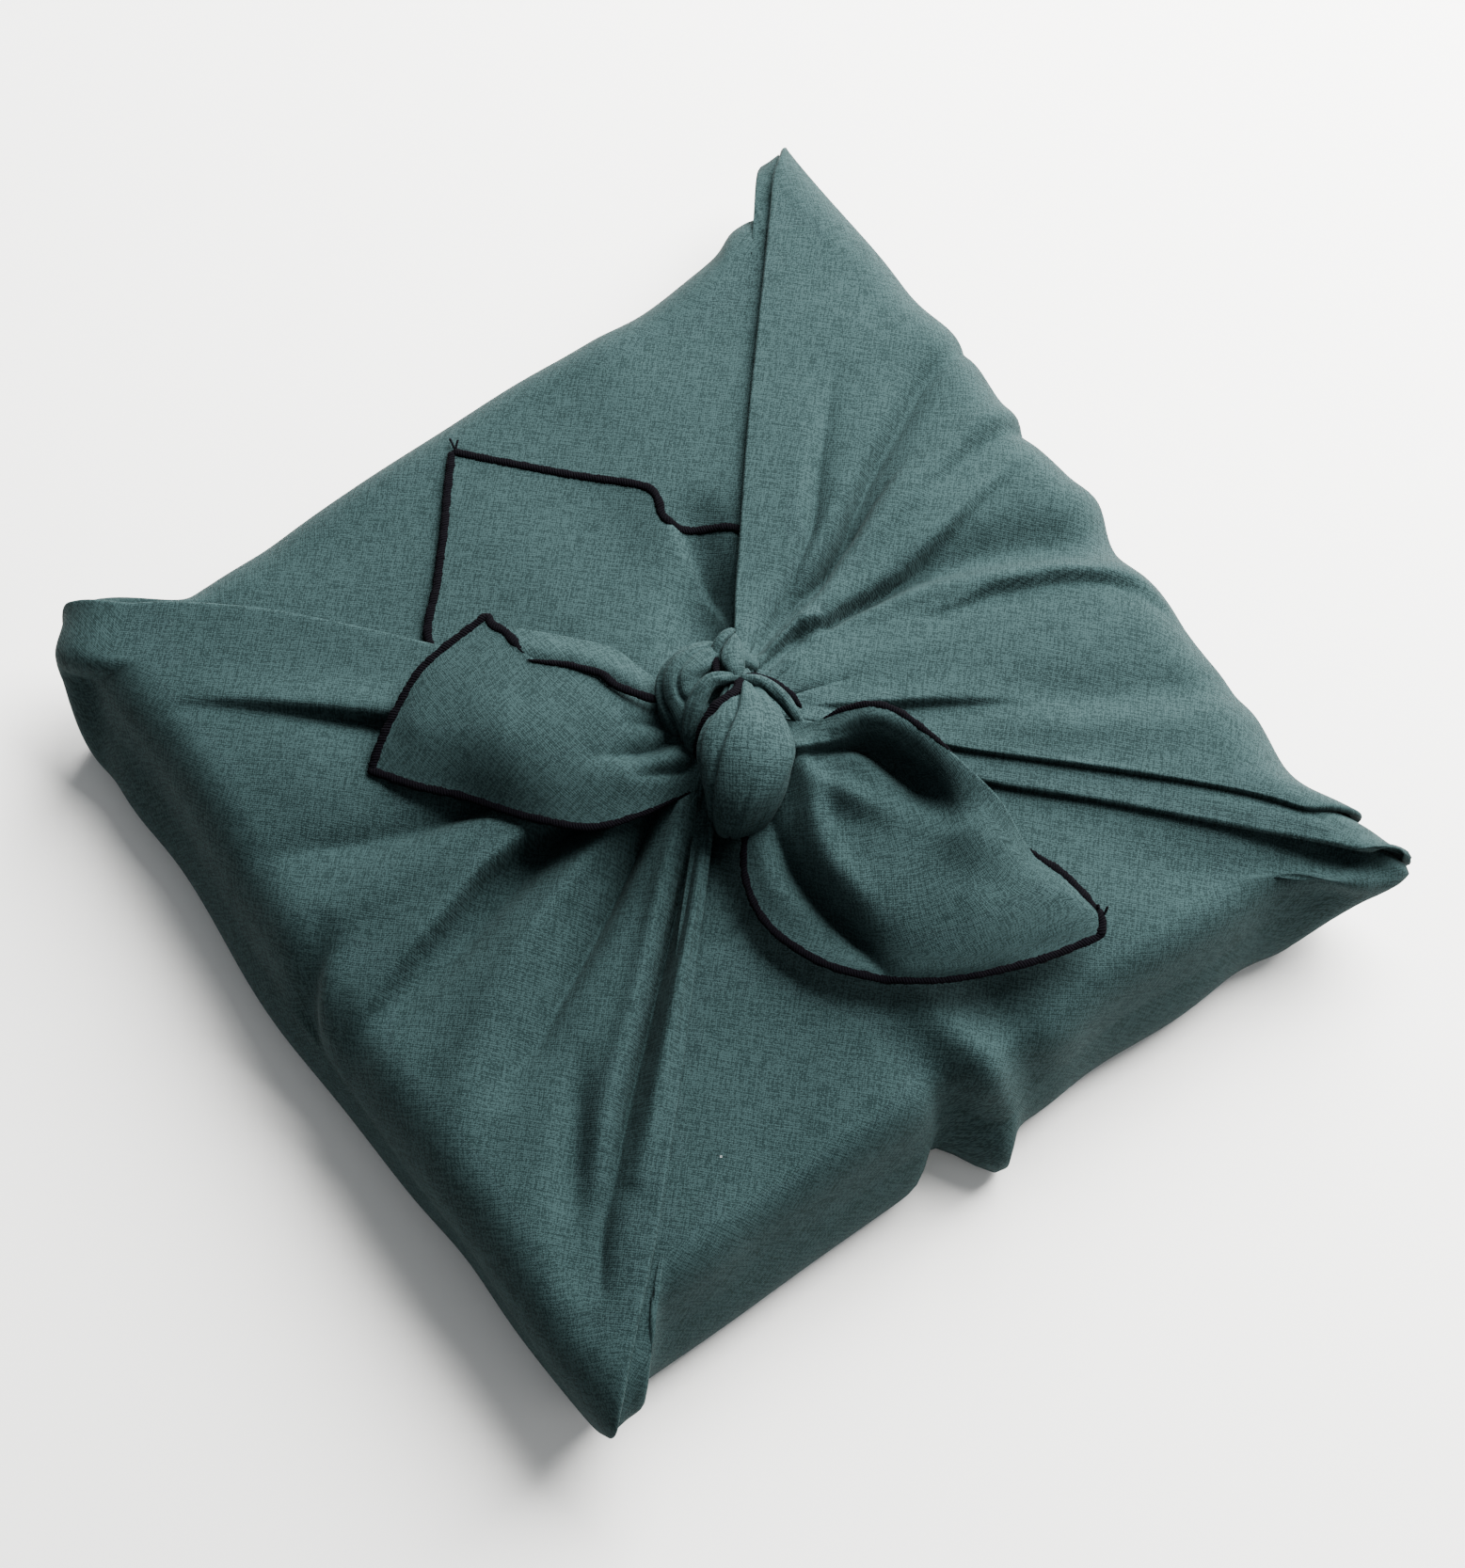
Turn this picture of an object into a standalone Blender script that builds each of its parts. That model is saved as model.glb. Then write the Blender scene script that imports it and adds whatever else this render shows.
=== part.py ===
"""A square cloth folded round a flat parcel and tied in a square knot.

The cloth is one piece, so the part is one closed solid, named wrap. Its body is a grid of rings
round the knot: out over the top, down the sides and in under the base. Two gathered fans lie over
two flat panels, and their folded edges run from the knot to the four corners, where the cloth
stands out in pinched ears. The knot is made of swept bands, and each free end is a thin sheet.

All tables and sizes are in millimetres, seen from above: +X to the right, +Y away, +Z up.
"""
import math

import bmesh
import bpy
import numpy as np
from mathutils import Matrix

MM = 0.001

# The parcel
EDGE_HEIGHT = 46.0        # where the top meets the shoulder
CROWN_HEIGHT = 53.0       # the middle of the top, under the knot
SHOULDER_HEIGHT = 27.0    # where the shoulder meets the side
SHOULDER_SCALE = 0.90     # share of the way to the outline where the shoulder begins
FOOT_HEIGHT = 7.0         # where the side turns in under the base
FOOT_SCALE = 0.955
SIDE_BULGE = 0.008        # how much wider the side is at half its height
KNOT_PLAN = (-1.0, -6.0)  # the knot's middle in plan

# How the cloth lies on it
FAN_LIFT = 3.0            # a fan's folded edge stands this far above the panel
FLAP_LIFT = 1.6           # the upper panel's hemmed tip lies this far above the lower panel
EDGE_SLOPE = 2.5          # width of the slope down from such an edge
GATHER_RISE = 13.0        # how far a fan climbs to the knot
GATHER_REACH = 36.0
EAR_DEPTH = 20.0          # how far an ear stands out past the panel beside it
EAR_FLANK = 32.0          # length of that side which the ear takes up
EAR_FOOT = 8.0            # below this height an ear has faded out
EAR_TOP = 36.0

# The mesh
COLUMNS_PER_SIDE = 34
TOP_RINGS = 15
END_THICKNESS = 2.2

CLOTH_COLOUR = (0.052, 0.105, 0.094, 1.0)
CLOTH_ROUGHNESS = 0.9

# Corners of the parcel at its foot, anticlockwise, and the tips of the ears above them:
# name, foot x, foot y, ear x, ear y
CORNERS = (
    ("near", -152, -145, -153, -159),
    ("right", 137, -146, 152, -161),
    ("far", 140, 137, 150, 166),
    ("left", -152, 139, -149, 165),
)

# How far each side stands outside the straight line between its corners, from each corner to the
# next one: side, at the start, in the middle, at the end
SIDES = (
    ("near to right", -2, 2, 3),
    ("right to far", -3, 0, 1),
    ("far to left", 0, 0, 0),
    ("left to near", 0, 4, 1),
)

# Bumps (outward) and hollows (negative) in the sides: side number, share of the way along it,
# half width in mm, push at the shoulder, push at the foot
BUMPS = (
    (0, 0.485, 11, 1.5, 9),
    (0, 0.425, 12, -2.5, -8),
    (0, 0.22, 40, -2, -3),
    (0, 0.80, 30, 2, 4),
    (1, 0.26, 46, -7, -4),
    (1, 0.62, 22, 2, 1),
    (2, 0.50, 14, -3, -1),
    (2, 0.78, 40, 2, 3),
    (3, 0.42, 34, 1, 3),
    (3, 0.78, 16, -3, -4),
)

# Folded edges of the fans, from the knot to the corner:
# name, x and y at the knot, in the middle and at the corner, side that the fan lies on
CREASES = (
    ("far fan at far", 24, 22, 76, 86, 150, 168, -1),
    ("far fan at right", 30, -36, 92, -100, 152, -166, 1),
    ("near fan at left", -14, 34, -74, 96, -146, 164, 1),
    ("near fan at near", -12, -18, -84, -92, -157, -164, -1),
)

# Hems of the upper panel's tip, which lies on the lower panel: the same columns
FLAP_HEMS = (
    ("right hem", 40, 40, 32, 82, -9, 134, 1),
    ("left hem", -60, 62, -38, 98, -10, 134, -1),
)

# Folds drawn to the knot: name, x and y at the knot, in the middle and at the rim, half width at
# the knot and at the rim, height at the knot and at the rim (negative for a trough)
FOLDS = (
    ("far strip", 34, 24, 80, 58, 113, 90, 4, 9, 3.0, 1.0),
    ("far first trough", 26, 15, 88, 45, 143, 65, 4, 8, -6.0, -2.5),
    ("far second trough", 62, 22, 108, 35, 144, 33, 5, 7, -4.0, -2.5),
    ("far deep trough", 30, 7, 70, 12, 118, 18, 5, 8, -7.0, -1.5),
    ("far curved ridge", 32, -4, 96, -3, 138, -32, 8, 10, 4.0, 4.0),
    ("far curved trough", 86, -12, 118, -22, 139, -50, 5, 7, -2.0, -3.5),
    ("far small trough", 40, -20, 72, -42, 96, -58, 5, 7, -4.0, -1.0),
    ("far tucked line", 34, -34, 98, -90, 142, -146, 3, 3, -2.5, -2.0),
    ("near tucked line", -30, 20, -98, 80, -140, 118, 6, 6, -6.0, -2.0),
    ("near upper trough", -40, 2, -84, 10, -122, 22, 8, 13, -6.0, -2.0),
    ("near ridge", -36, -2, -82, -8, -128, -8, 7, 12, 3.0, 2.5),
    ("near deep trough", -34, -8, -88, -28, -140, -44, 6, 9, -8.0, -3.0),
    ("near lower ridge", -30, -14, -84, -50, -134, -78, 8, 12, 4.0, 2.0),
    ("near lower trough", -26, -18, -70, -52, -112, -88, 5, 7, -5.0, -2.0),
)

# Sections of the left free end, from the knot to its outer hem: five points across each,
# from the lower hem to the upper edge
LEFT_END = (
    ((-8, -13, 60), (-8, -8, 65), (-7, -3, 68), (-5, 4, 67), (-4, 12, 63)),
    ((-26, -12, 61), (-24, -7, 69), (-22, 0, 71), (-19, 8, 70), (-16, 21, 66)),
    ((-42, -11, 61), (-40, -3, 70), (-35, 7, 76), (-29, 19, 76), (-23, 34, 68)),
    ((-59, -2, 62), (-55, 8, 70), (-49, 18, 76), (-43, 30, 78), (-35, 45, 72)),
    ((-73, 19, 60), (-68, 27, 68), (-62, 35, 74), (-53, 43, 78), (-40, 56, 73)),
    ((-85, 35, 60), (-80, 42, 66), (-72, 49, 71), (-58, 56, 77), (-44, 63, 78)),
    ((-96, 47, 61), (-85, 56, 64), (-73, 63, 68), (-58, 67, 73), (-46, 67, 77)),
)

# Sections of the right free end, in the same order, from its left hem to its right edge
RIGHT_END = (
    ((-10, -26, 61), (-4, -27, 66), (2, -26, 70), (8, -22, 71), (12, -14, 69)),
    ((-17, -40, 60), (-8, -45, 68), (3, -43, 75), (16, -33, 67), (22, -26, 77)),
    ((-24, -48, 60), (-13, -54, 65), (2, -58, 79), (24, -48, 64), (35, -34, 83)),
    ((-28, -57, 60), (-13, -63, 63), (2, -71, 79), (27, -63, 68), (42, -55, 85)),
    ((-26, -72, 60), (-12, -76, 62), (4, -86, 76), (26, -85, 76), (47, -75, 84)),
    ((-17, -89, 59), (-8, -92, 62), (9, -98, 69), (28, -100, 74), (46, -95, 76)),
    ((2, -105, 59), (11, -109, 62), (24, -112, 65), (38, -112, 67), (51, -110, 68)),
    ((27, -118, 58), (35, -121, 59), (43, -123, 60), (49, -124, 61), (54, -122, 62)),
)

# Bands of the knot: name, three points of its middle line, half width, half thickness
BANDS = (
    ("core", (-16, -9, 57), (0, -6, 62), (14, -3, 58), 16, 10),
    ("front band", (-12, -32, 60), (0, -18, 84), (12, 4, 66), 14, 6),
    ("back band", (-16, 8, 60), (0, 12, 79), (17, 12, 62), 10, 6),
    ("left strand", (-18, -16, 60), (-10, -6, 80), (10, 5, 72), 5, 4),
    ("right strand", (10, 6, 68), (15, -8, 78), (15, -22, 62), 6, 4),
)
BAND_STATIONS = 14
BAND_SIDES = 14


def through(points, share):
    """The curve through three points: a parabola that is at them at shares 0, 1/2 and 1."""
    start, middle, end = (np.asarray(p, float) for p in points)
    share = np.asarray(share, float)[..., None]
    return (start * (1 - share) * (1 - 2 * share) + middle * 4 * share * (1 - share)
            + end * share * (2 * share - 1))


def smooth(value, low, high):
    """0 below low, 1 above high, and a smooth S between them."""
    share = np.clip((value - low) / (high - low), 0.0, 1.0)
    return share * share * (3 - 2 * share)


def beside(points, xy):
    """How far each point of xy lies to the left of the curve through three points (negative to
    the right), and the share of the curve's length at the nearest place on it."""
    line = through(points, np.linspace(0, 1, 25))
    start, run = line[:-1], np.diff(line, axis=0)
    offset = xy[..., None, :] - start
    share = np.clip((offset * run).sum(-1) / (run * run).sum(-1), 0, 1)
    gap = offset - share[..., None] * run
    distance = np.linalg.norm(gap, axis=-1)
    nearest = distance.argmin(-1)[..., None]
    left = np.sign(run[:, 0] * offset[..., 1] - run[:, 1] * offset[..., 0])
    signed = np.take_along_axis(distance * left, nearest, -1)[..., 0]
    along = np.take_along_axis(share, nearest, -1)[..., 0] + nearest[..., 0]
    return signed, along / len(run)


def curve_rows(row):
    """The three plan points that a crease or fold row holds after its name."""
    return np.reshape(row[1:7], (3, 2))


def outline(turn, height):
    """The parcel's outline in plan at a height: turn counts the corners, 0 to 4."""
    side = np.floor(turn).astype(int) % 4
    share = (turn - np.floor(turn))[:, None]
    ear = smooth(height, EAR_FOOT, EAR_TOP)
    plan = np.array([row[1:5] for row in CORNERS], float)
    corners = plan[:, :2] * (1 - ear) + plan[:, 2:] * ear
    start, end = corners[side], corners[(side + 1) % 4]
    run = end - start
    length = np.linalg.norm(run, axis=1, keepdims=True)
    outward = np.stack([run[:, 1], -run[:, 0]], 1) / length
    bow = np.array([row[1:4] for row in SIDES], float)[side]
    push = through(bow.T[..., None], share[:, 0])[:, 0] * np.sin(math.pi * share[:, 0]) ** 0.5
    low = 1 - smooth(height, FOOT_HEIGHT, EDGE_HEIGHT)
    for number, place, half_width, at_shoulder, at_foot in BUMPS:
        distance = (share[:, 0] - place) * length[:, 0] / half_width
        size = at_shoulder + (at_foot - at_shoulder) * low
        push = push + np.where(side == number, size * np.exp(-distance ** 2), 0.0)
    from_corner = np.minimum(share, 1 - share)[:, 0] * length[:, 0]
    beside_panel = side % 2 == 0
    push = push - beside_panel * ear * EAR_DEPTH * smooth(from_corner, 0, EAR_FLANK)
    point = start + run * share + outward * push[:, None]
    return point


def between(rows, xy):
    """1 on the fan's or flap's side of both its edges, 0 beyond them, with a short slope."""
    inside = np.ones(xy.shape[:-1])
    for row in rows:
        signed, _ = beside(curve_rows(row), xy)
        inside *= smooth(signed * row[7], -EDGE_SLOPE / 2, EDGE_SLOPE / 2)
    return inside


def top_height(xy, scale):
    """Height of the cloth on top: the crown, the flap and fans lying on it, and their folds."""
    height = CROWN_HEIGHT + (EDGE_HEIGHT - CROWN_HEIGHT) * (scale / SHOULDER_SCALE) ** 2.4
    fan = np.maximum(between(CREASES[:2], xy), between(CREASES[2:], xy))
    flap = between(FLAP_HEMS, xy) * (1 - fan)
    reach = np.linalg.norm(xy - KNOT_PLAN, axis=-1)
    gather = GATHER_RISE * np.exp(-(reach / GATHER_REACH) ** 2)
    height = height + FLAP_LIFT * flap + fan * (FAN_LIFT + gather)
    for row in FOLDS:
        signed, along = beside(curve_rows(row), xy)
        width = row[7] + (row[8] - row[7]) * along
        size = row[9] + (row[10] - row[9]) * along
        fade = smooth(reach, 8, 26)
        height = height + fan * fade * size * np.exp(-(signed / width) ** 2)
    return height


def ring_levels():
    """Share of the way out and height of every ring, from the knot to the middle of the base."""
    rings = [(scale, None) for scale in np.linspace(0.1, SHOULDER_SCALE, TOP_RINGS)]
    for angle in np.radians((25, 47, 68, 90)):
        rings.append((SHOULDER_SCALE + (1 - SHOULDER_SCALE) * math.sin(angle),
                      SHOULDER_HEIGHT + (EDGE_HEIGHT - SHOULDER_HEIGHT) * math.cos(angle)))
    rings.append((1 + SIDE_BULGE, (SHOULDER_HEIGHT + FOOT_HEIGHT) / 2))
    rings.append((0.995, FOOT_HEIGHT))
    rings.append((0.985, FOOT_HEIGHT / 3))
    rings.append((FOOT_SCALE, 0.0))
    rings.append((0.5, 0.0))
    return rings


def body_mesh():
    """The wrapped parcel as a closed mesh of rings, closed by a point at each middle."""
    share = np.arange(COLUMNS_PER_SIDE) / COLUMNS_PER_SIDE
    share = 0.55 * (0.5 - 0.5 * np.cos(math.pi * share)) + 0.45 * share
    turn = (np.arange(4)[:, None] + share).ravel()
    knot = np.array(KNOT_PLAN)
    rings = []
    for scale, height in ring_levels():
        level = EDGE_HEIGHT if height is None else height
        xy = knot + (outline(turn, level) - knot) * scale
        z = top_height(xy, scale) if height is None else np.full(len(turn), height)
        rings.append(np.column_stack([xy, z]))
    # The shoulder takes up the difference between the folds above it and the plain side.
    start = TOP_RINGS - 1
    extra = rings[start][:, 2] - EDGE_HEIGHT
    for step, keep in enumerate((0.75, 0.45, 0.2), 1):
        rings[start + step][:, 2] += extra * keep
    middle_top = (*KNOT_PLAN, CROWN_HEIGHT + GATHER_RISE)
    middle_base = (*KNOT_PLAN, 0.0)
    count = len(turn)
    vertices = np.vstack(rings + [[middle_top], [middle_base]])
    faces = []
    for ring in range(len(rings) - 1):
        for column in range(count):
            after = (column + 1) % count
            faces.append((ring * count + column, (ring + 1) * count + column,
                          (ring + 1) * count + after, ring * count + after))
    top, base, last = len(vertices) - 2, len(vertices) - 1, (len(rings) - 1) * count
    for column in range(count):
        after = (column + 1) % count
        faces.append((top, column, after))
        faces.append((base, last + after, last + column))
    return new_mesh("body", vertices, faces)


def new_mesh(name, vertices, faces):
    mesh = bpy.data.meshes.new(name)
    mesh.from_pydata(np.asarray(vertices) * MM, [], faces)
    mesh.validate()
    work = bmesh.new()
    work.from_mesh(mesh)
    bmesh.ops.recalc_face_normals(work, faces=work.faces)
    work.to_mesh(mesh)
    work.free()
    return mesh


def spline(rows, count):
    """A smooth curve through the rows (a cardinal spline), read at count even steps."""
    rows = np.asarray(rows, float)
    padded = np.concatenate([2 * rows[:1] - rows[1:2], rows, 2 * rows[-1:] - rows[-2:-1]])
    place = np.linspace(0, len(rows) - 1, count)
    index = np.minimum(place.astype(int), len(rows) - 2)
    share = (place - index).reshape((-1,) + (1,) * (rows.ndim - 1))
    before, start, end, after = (padded[index + step] for step in range(4))
    return 0.5 * (2 * start + (end - before) * share
                  + (2 * before - 5 * start + 4 * end - after) * share ** 2
                  + (3 * start - before - 3 * end + after) * share ** 3)


def sheet_mesh(name, sections, along, across):
    """A thin closed sheet, lofted through the sections, END_THICKNESS thick."""
    grid = spline(sections, along)
    grid = np.moveaxis(spline(np.moveaxis(grid, 1, 0), across), 0, 1)
    slope_a, slope_b = np.gradient(grid, axis=0), np.gradient(grid, axis=1)
    normal = np.cross(slope_a, slope_b)
    normal /= np.linalg.norm(normal, axis=-1, keepdims=True)
    upper = (grid + normal * END_THICKNESS / 2).reshape(-1, 3)
    lower = (grid - normal * END_THICKNESS / 2).reshape(-1, 3)
    number = np.arange(along * across).reshape(along, across)
    below = number + along * across
    faces = []
    for a in range(along - 1):
        for b in range(across - 1):
            faces.append((number[a, b], number[a, b + 1], number[a + 1, b + 1], number[a + 1, b]))
            faces.append((below[a, b], below[a + 1, b], below[a + 1, b + 1], below[a, b + 1]))
    rim = np.concatenate([number[0, :-1], number[:-1, -1], number[-1, :0:-1], number[:0:-1, 0]])
    for first, second in zip(rim, np.roll(rim, -1)):
        faces.append((first, first + along * across, second + along * across, second))
    return new_mesh(name, np.vstack([upper, lower]), faces)


def band_mesh(name, start, middle, end, half_width, half_thickness):
    """A flattened tube along the curve through three points, closed by a point at each end."""
    share = np.linspace(0, 1, BAND_STATIONS)
    path = through((start, middle, end), share)
    tangent = np.gradient(path, axis=0)
    tangent /= np.linalg.norm(tangent, axis=1, keepdims=True)
    side = np.cross(tangent, (0.0, 0.0, 1.0))
    side /= np.linalg.norm(side, axis=1, keepdims=True)
    up = np.cross(side, tangent)
    swell = (0.72 + 0.28 * np.sin(math.pi * share))[:, None, None]
    angle = np.linspace(0, 2 * math.pi, BAND_SIDES, endpoint=False)[None, :, None]
    tube = path[:, None] + swell * (half_width * np.cos(angle) * side[:, None]
                                    + half_thickness * np.sin(angle) * up[:, None])
    vertices = np.vstack([tube.reshape(-1, 3), path[:1] - tangent[:1], path[-1:] + tangent[-1:]])
    faces = []
    for station in range(BAND_STATIONS - 1):
        for corner in range(BAND_SIDES):
            after = (corner + 1) % BAND_SIDES
            faces.append((station * BAND_SIDES + corner, station * BAND_SIDES + after,
                          (station + 1) * BAND_SIDES + after, (station + 1) * BAND_SIDES + corner))
    last = (BAND_STATIONS - 1) * BAND_SIDES
    for corner in range(BAND_SIDES):
        after = (corner + 1) % BAND_SIDES
        faces.append((len(vertices) - 2, after, corner))
        faces.append((len(vertices) - 1, last + corner, last + after))
    return new_mesh(name, vertices, faces)


def add_object(name, mesh):
    thing = bpy.data.objects.new(name, mesh)
    bpy.context.scene.collection.objects.link(thing)
    return thing


def joined(body, others):
    """Unites the body with the other closed meshes into one closed mesh."""
    base = add_object("body", body)
    helpers = []
    for other in others:
        helper = add_object(other.name, other)
        union = base.modifiers.new(other.name, "BOOLEAN")
        union.operation = "UNION"
        union.object = helper
        helpers.append(helper)
    evaluated = base.evaluated_get(bpy.context.evaluated_depsgraph_get())
    mesh = bpy.data.meshes.new_from_object(evaluated)
    for helper in helpers + [base]:
        bpy.data.objects.remove(helper)
    return mesh


def cloth_material():
    material = bpy.data.materials.new("linen")
    material.use_nodes = True
    shader = material.node_tree.nodes["Principled BSDF"]
    shader.inputs["Base Color"].default_value = CLOTH_COLOUR
    shader.inputs["Roughness"].default_value = CLOTH_ROUGHNESS
    shader.inputs["Metallic"].default_value = 0.0
    return material


def main():
    for thing in list(bpy.data.objects):
        bpy.data.objects.remove(thing)
    ends = [sheet_mesh("left end", LEFT_END, 14, 9), sheet_mesh("right end", RIGHT_END, 16, 13)]
    bands = [band_mesh(*row) for row in BANDS]
    mesh = joined(body_mesh(), bands + ends)
    # The origin is under the middle of the whole, on the surface that it rests on.
    places = np.empty(len(mesh.vertices) * 3)
    mesh.vertices.foreach_get("co", places)
    places = places.reshape(-1, 3)
    middle = (places.min(0) + places.max(0)) / 2
    mesh.transform(Matrix.Translation((-middle[0], -middle[1], 0.0)))
    mesh.materials.clear()
    mesh.materials.append(cloth_material())
    mesh.shade_smooth()
    mesh.set_sharp_from_angle(angle=math.radians(50))
    add_object("wrap", mesh)
    print("moved by (mm)", (-middle / MM).round(2), "triangles",
          sum(len(p.vertices) - 2 for p in mesh.polygons))


main()
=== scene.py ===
"""Looks of a square linen cloth tied round a flat parcel: a furoshiki wrap.

Run as a script, it builds every piece of cloth, its black hem, the floor, the light and the camera
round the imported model. Tables are in millimetres as seen from above (+X right, +Y away, +Z up),
measured from a point near the middle of the knot's footprint; PLAN_SHIFT moves them to the frame.
"""
import math
from functools import partial

import bmesh
import bpy
import numpy as np
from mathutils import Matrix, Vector


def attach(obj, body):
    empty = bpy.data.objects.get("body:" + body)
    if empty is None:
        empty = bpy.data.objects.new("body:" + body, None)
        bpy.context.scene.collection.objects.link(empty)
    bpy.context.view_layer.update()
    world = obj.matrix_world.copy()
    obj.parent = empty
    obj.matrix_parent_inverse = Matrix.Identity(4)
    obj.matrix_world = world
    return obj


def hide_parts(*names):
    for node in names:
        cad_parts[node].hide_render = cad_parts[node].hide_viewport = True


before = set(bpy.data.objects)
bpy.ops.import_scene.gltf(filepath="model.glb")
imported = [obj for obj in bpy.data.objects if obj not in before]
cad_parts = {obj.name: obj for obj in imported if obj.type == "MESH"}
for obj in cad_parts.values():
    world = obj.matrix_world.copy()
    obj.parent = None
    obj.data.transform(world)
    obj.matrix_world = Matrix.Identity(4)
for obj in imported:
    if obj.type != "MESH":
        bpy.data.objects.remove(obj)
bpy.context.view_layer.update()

bl_info = {
    "name": "Furoshiki wrap",
    "version": (1, 0, 0),
    "blender": (4, 5, 0),
    "location": "3D View > Sidebar > Wrap",
    "description": "A square linen cloth with a black hem, tied round a flat parcel",
    "category": "Add Mesh",
}

MM = 0.001
PLAN_SHIFT = np.array([3.87, -2.35, 0.0])   # from the tables' origin to the frame's

# The parcel under the cloth
EDGE_HEIGHT = 46.0
CROWN_HEIGHT = 53.0
SHOULDER_HEIGHT = 27.0
SHOULDER_SCALE = 0.90
FOOT_HEIGHT = 7.0
FOOT_SCALE = 0.955
SIDE_BULGE = 0.008
KNOT = np.array([-1.0, -6.0])
PARCEL_MIDDLE = np.array([-5.0, -4.0])
PARCEL_HALF = np.array([150.0, 147.0])
EAR_DEPTH = 20.0
EAR_FLANK = 32.0
EAR_FOOT = 8.0
EAR_TOP = 36.0

# Corners at the foot, anticlockwise from the nearest one, and the tips of the ears above them:
# name, foot x, foot y, ear x, ear y
CORNERS = (
    ("near", -152, -145, -151, -156),
    ("right", 137, -146, 153, -161),
    ("far", 140, 137, 151, 169),
    ("left", -153, 139, -138, 166),
)

# How far each side stands out from the straight line between its corners:
# name, at the start, in the middle, at the end
SIDES = (
    ("near to right", -2, 2, 3),
    ("right to far", -3, -3, -2),
    ("far to left", 0, 0, 0),
    ("left to near", 1.5, 5.6, 4),
)

# Bumps and hollows in the sides: side, share of the way along, half width, push at the shoulder,
# push at the foot
BUMPS = (
    (0, 0.505, 8, 2.5, 11),
    (0, 0.460, 8, -2.5, -9),
    (0, 0.036, 5, 5.0, 1),
    (0, 0.150, 34, 1.5, 1),
    (0, 0.580, 16, 4.0, 2),
    (0, 0.785, 30, 3.0, 4),
    (0, 0.930, 16, 11.0, 7),
    (1, 0.130, 22, -12.0, -7),
    (1, 0.270, 42, -7.2, -4),
    (1, 0.410, 12, -3.5, -2),
    (1, 0.480, 7, 2.5, 1),
    (1, 0.590, 20, -2.5, -1),
    (1, 0.700, 14, 3.0, 2),
    (2, 0.038, 5, 5.0, 0),
    (2, 0.062, 5, -7.0, -2),
    (2, 0.110, 8, 4.5, 3),
    (2, 0.280, 34, -4.8, -3.5),
    (2, 0.860, 24, -0.5, 0),
    (3, 0.045, 9, 12.0, 3),
    (3, 0.120, 20, 3.0, 3),
    (3, 0.420, 34, 1.0, 3),
    (3, 0.780, 20, -1.0, -2),
)

# Folded edges of the fans, in plan from the neck outwards; each runs on to its place on the rim
CREASES = {
    "right, upper": ((12, -13), (44, -39), (59, -54), (95, -88), (120, -113)),
    "right, lower": ((11, -17), (50, -55), (58, -65), (83, -90), (109, -117)),
    "right, hidden": ((13, 0), (54, -30), (70, -44), (104, -76), (128, -99)),
    "far": ((12, 7), (31, 31), (42, 44), (68, 75), (90, 100), (115, 128)),
    "left": ((-12, -4), (-24, 26), (-40, 52), (-56, 75), (-87, 114), (-112, 139)),
    "near": ((-13, -18), (-19, -23), (-32, -38), (-52, -59), (-81, -89), (-107, -115)),
}

# Fans: name, side of the parcel, shares of the side at its two edges, its two edges,
# whether each shows as a fold, lift over the panels at each edge
FANS = (
    ("fan_far", 1, 0.060, 1.0, "right, upper", "far", 1, 1, 4.9, 3.4),
    ("fan_far_tuck", 1, 0.0, 0.10, "right, lower", "right, hidden", 1, 0, 2.6, 1.6),
    ("fan_near", 3, 0.0, 1.0, "left", "near", 1, 1, 3.6, 3.0),
)

# The crease that runs beside the near fan's folded edge, and the trough under the hemmed tip
NEAR_CREASE = ((-20, -20), (-29, -28), (-38, -35), (-49, -44), (-63, -56), (-78, -69), (-93, -82),
               (-108, -96), (-121, -108), (-131, -121))
FLAP_TROUGH = ((4, 6), (16, 24), (27, 42), (37, 60))

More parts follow.
